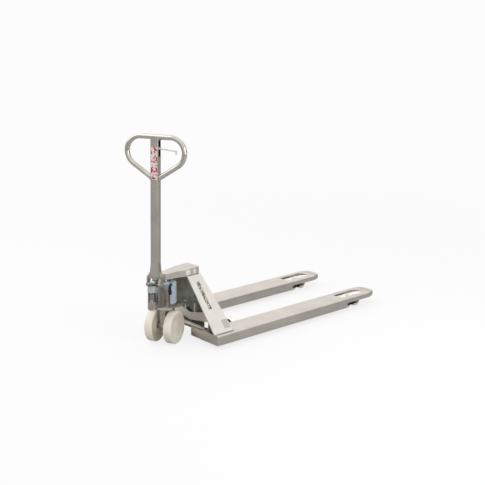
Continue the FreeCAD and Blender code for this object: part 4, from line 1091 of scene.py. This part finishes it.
@dataclass
class Studio:
    """The floor, backdrop, lamps, world and camera."""

    azimuth_deg: float = 48.88
    elevation_deg: float = 14.65
    distance: float = 7.42565
    look_at: Place = (-0.60794, 0.471972, 0.3)
    focal_mm: float = 76.73
    floor_half: float = 30.0
    paper: str = "#FCFCFC"
    floor_grey: float = 0.44
    near_white: float = 0.80
    fade_from: float = 1.5
    fade_to: float = 5.0
    sky: float = 1.02
    screen: float = 0.04
    lamps: tuple[Lamp, ...] = (
        Lamp("key", (-3.0, -3.2, 4.2), side=5.0, power=80.0),
        Lamp("fill", (3.6, 0.2, 1.7), side=2.2, power=38.0),
    )

    def floor(self) -> None:
        """A large pale floor that keeps the truck's shadow.

        For the camera it is paper lit by the lamps, blended with its own white: 80% white near the
        truck, all white from 5 m away. For every other ray it is a plain mid-grey.
        """
        half = self.floor_half
        line = np.linspace(-half, half, 3)
        x, y = np.meshgrid(line, line, indexing="ij")
        floor = grid_mesh("studio_floor", np.stack([x, y, np.zeros_like(x)], axis=-1))
        material = bpy.data.materials.new("studio_paper")
        material.use_nodes = True
        tree = material.node_tree
        tree.nodes.clear()
        path = add_node(tree, "ShaderNodeLightPath")
        camera_ray = path.outputs["Is Camera Ray"]
        grey = (self.floor_grey, self.floor_grey, self.floor_grey * 0.98, 1.0)
        tone = add_node(
            tree,
            "ShaderNodeMix",
            {"data_type": "RGBA", "inputs": {6: grey, 7: linear("#F2F3F6")}},
            Factor=camera_ray,
        )
        paper = add_node(tree, "ShaderNodeBsdfDiffuse", Color=tone.outputs[2])
        where = add_node(tree, "ShaderNodeTexCoord")
        far = add_node(
            tree, "ShaderNodeVectorMath", {"operation": "LENGTH", "inputs": {0: where.outputs["Object"]}}
        )
        reach = {"From Min": self.fade_from, "From Max": self.fade_to}
        fade = add_node(
            tree,
            "ShaderNodeMapRange",
            {"inputs": {**reach, "To Min": self.near_white, "To Max": 1.0}},
            Value=far.outputs["Value"],
        )
        shown = add_node(
            tree,
            "ShaderNodeMath",
            {"operation": "MULTIPLY", "inputs": {0: camera_ray, 1: fade.outputs["Result"]}},
        )
        glow = add_node(tree, "ShaderNodeEmission", Color=linear(self.paper), Strength=1.0)
        mix = add_node(
            tree,
            "ShaderNodeMixShader",
            {"inputs": {0: shown.outputs[0], 1: paper.outputs["BSDF"], 2: glow.outputs["Emission"]}},
        )
        add_node(tree, "ShaderNodeOutputMaterial", Surface=mix.outputs["Shader"])
        floor.data.materials.append(material)

    def world(self) -> None:
        """A bright tent with a dark screen low down on either hand, white where the camera sees it.

        Its level is sky + (screen - sky) s (1 - h) (0.775 + 0.225 r): r is the share of the
        direction that points to the camera's right, s its size, and h climbs from 0 at 6 degrees
        above the floor to 1 at 44 degrees.
        """
        world = bpy.data.worlds.new("studio_world")
        world.use_nodes = True
        tree = world.node_tree
        tree.nodes.clear()
        turn = math.radians(self.azimuth_deg)
        where = add_node(tree, "ShaderNodeTexCoord").outputs["Generated"]
        right = (math.cos(turn), math.sin(turn), 0.0)
        hand = add_node(
            tree, "ShaderNodeVectorMath", {"operation": "DOT_PRODUCT", "inputs": {0: where, 1: right}}
        )
        shade = add_node(
            tree, "ShaderNodeMath", {"operation": "ABSOLUTE", "inputs": {0: hand.outputs["Value"]}}
        )
        height = add_node(tree, "ShaderNodeSeparateXYZ", {"inputs": {0: where}})
        low = {"From Min": 0.1, "From Max": 0.7, "To Min": 1.0, "To Max": 0.0}
        near_floor = add_node(tree, "ShaderNodeMapRange", {"inputs": low}, Value=height.outputs["Z"])
        lean = {"From Min": -1.0, "From Max": 1.0, "To Min": 0.55, "To Max": 1.0}
        uneven = add_node(tree, "ShaderNodeMapRange", {"inputs": lean}, Value=hand.outputs["Value"])
        for share in (near_floor.outputs["Result"], uneven.outputs["Result"]):
            product = {"operation": "MULTIPLY", "inputs": {0: shade.outputs[0], 1: share}}
            shade = add_node(tree, "ShaderNodeMath", product)
        levels = {"From Min": 0.0, "From Max": 1.0, "To Min": self.sky, "To Max": self.screen}
        level = add_node(tree, "ShaderNodeMapRange", {"inputs": levels}, Value=shade.outputs[0])
        strength = level.outputs["Result"]
        tent = add_node(tree, "ShaderNodeBackground", Color=linear("#FFFDFA"), Strength=strength)
        white = add_node(tree, "ShaderNodeBackground", Color=linear(self.paper), Strength=1.0)
        path = add_node(tree, "ShaderNodeLightPath")
        mix = add_node(
            tree,
            "ShaderNodeMixShader",
            {"inputs": {0: path.outputs["Is Camera Ray"], 1: tent.outputs[0], 2: white.outputs[0]}},
        )
        add_node(tree, "ShaderNodeOutputWorld", Surface=mix.outputs["Shader"])
        bpy.context.scene.world = world

    def camera(self) -> None:
        """The camera at its azimuth and elevation round the point it looks at."""
        a, e = math.radians(self.azimuth_deg), math.radians(self.elevation_deg)
        back = Vector((math.sin(a) * math.cos(e), -math.cos(a) * math.cos(e), math.sin(e)))
        data = bpy.data.cameras.new("camera")
        data.sensor_width = 36.0
        data.lens = self.focal_mm
        data.clip_end = 200.0
        camera = bpy.data.objects.new("camera", data)
        camera.location = Vector(self.look_at) + back * self.distance
        camera.rotation_euler = (-back).to_track_quat("-Z", "Y").to_euler()
        bpy.context.scene.collection.objects.link(camera)
        bpy.context.scene.camera = camera

    def build(self) -> None:
        """Set up the whole studio."""
        bpy.context.scene.view_settings.view_transform = "Standard"
        self.floor()
        self.world()
        for lamp in self.lamps:
            lamp.hang()
        self.camera()
        LOG.info("studio ready")


# Putting it together --------------------------------------------------------------------------


def clear_scene() -> None:
    """Empty the start-up scene."""
    for item in list(bpy.data.objects):
        bpy.data.objects.remove(item)


def main() -> None:
    """Load the frame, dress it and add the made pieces."""
    logging.basicConfig(level=logging.INFO, format="%(name)s: %(message)s")
    clear_scene()
    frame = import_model()
    CadDressing(frame["nodes"]).build()
    rolling = (SteerWheels(), LoadRollers())
    trim = (PlungerSpring(), FrameWelds(), HandleWelds(), Films(), TankScrews())
    for group in rolling + trim:
        group.build()
    Studio().build()


if __name__ == "__main__":
    main()
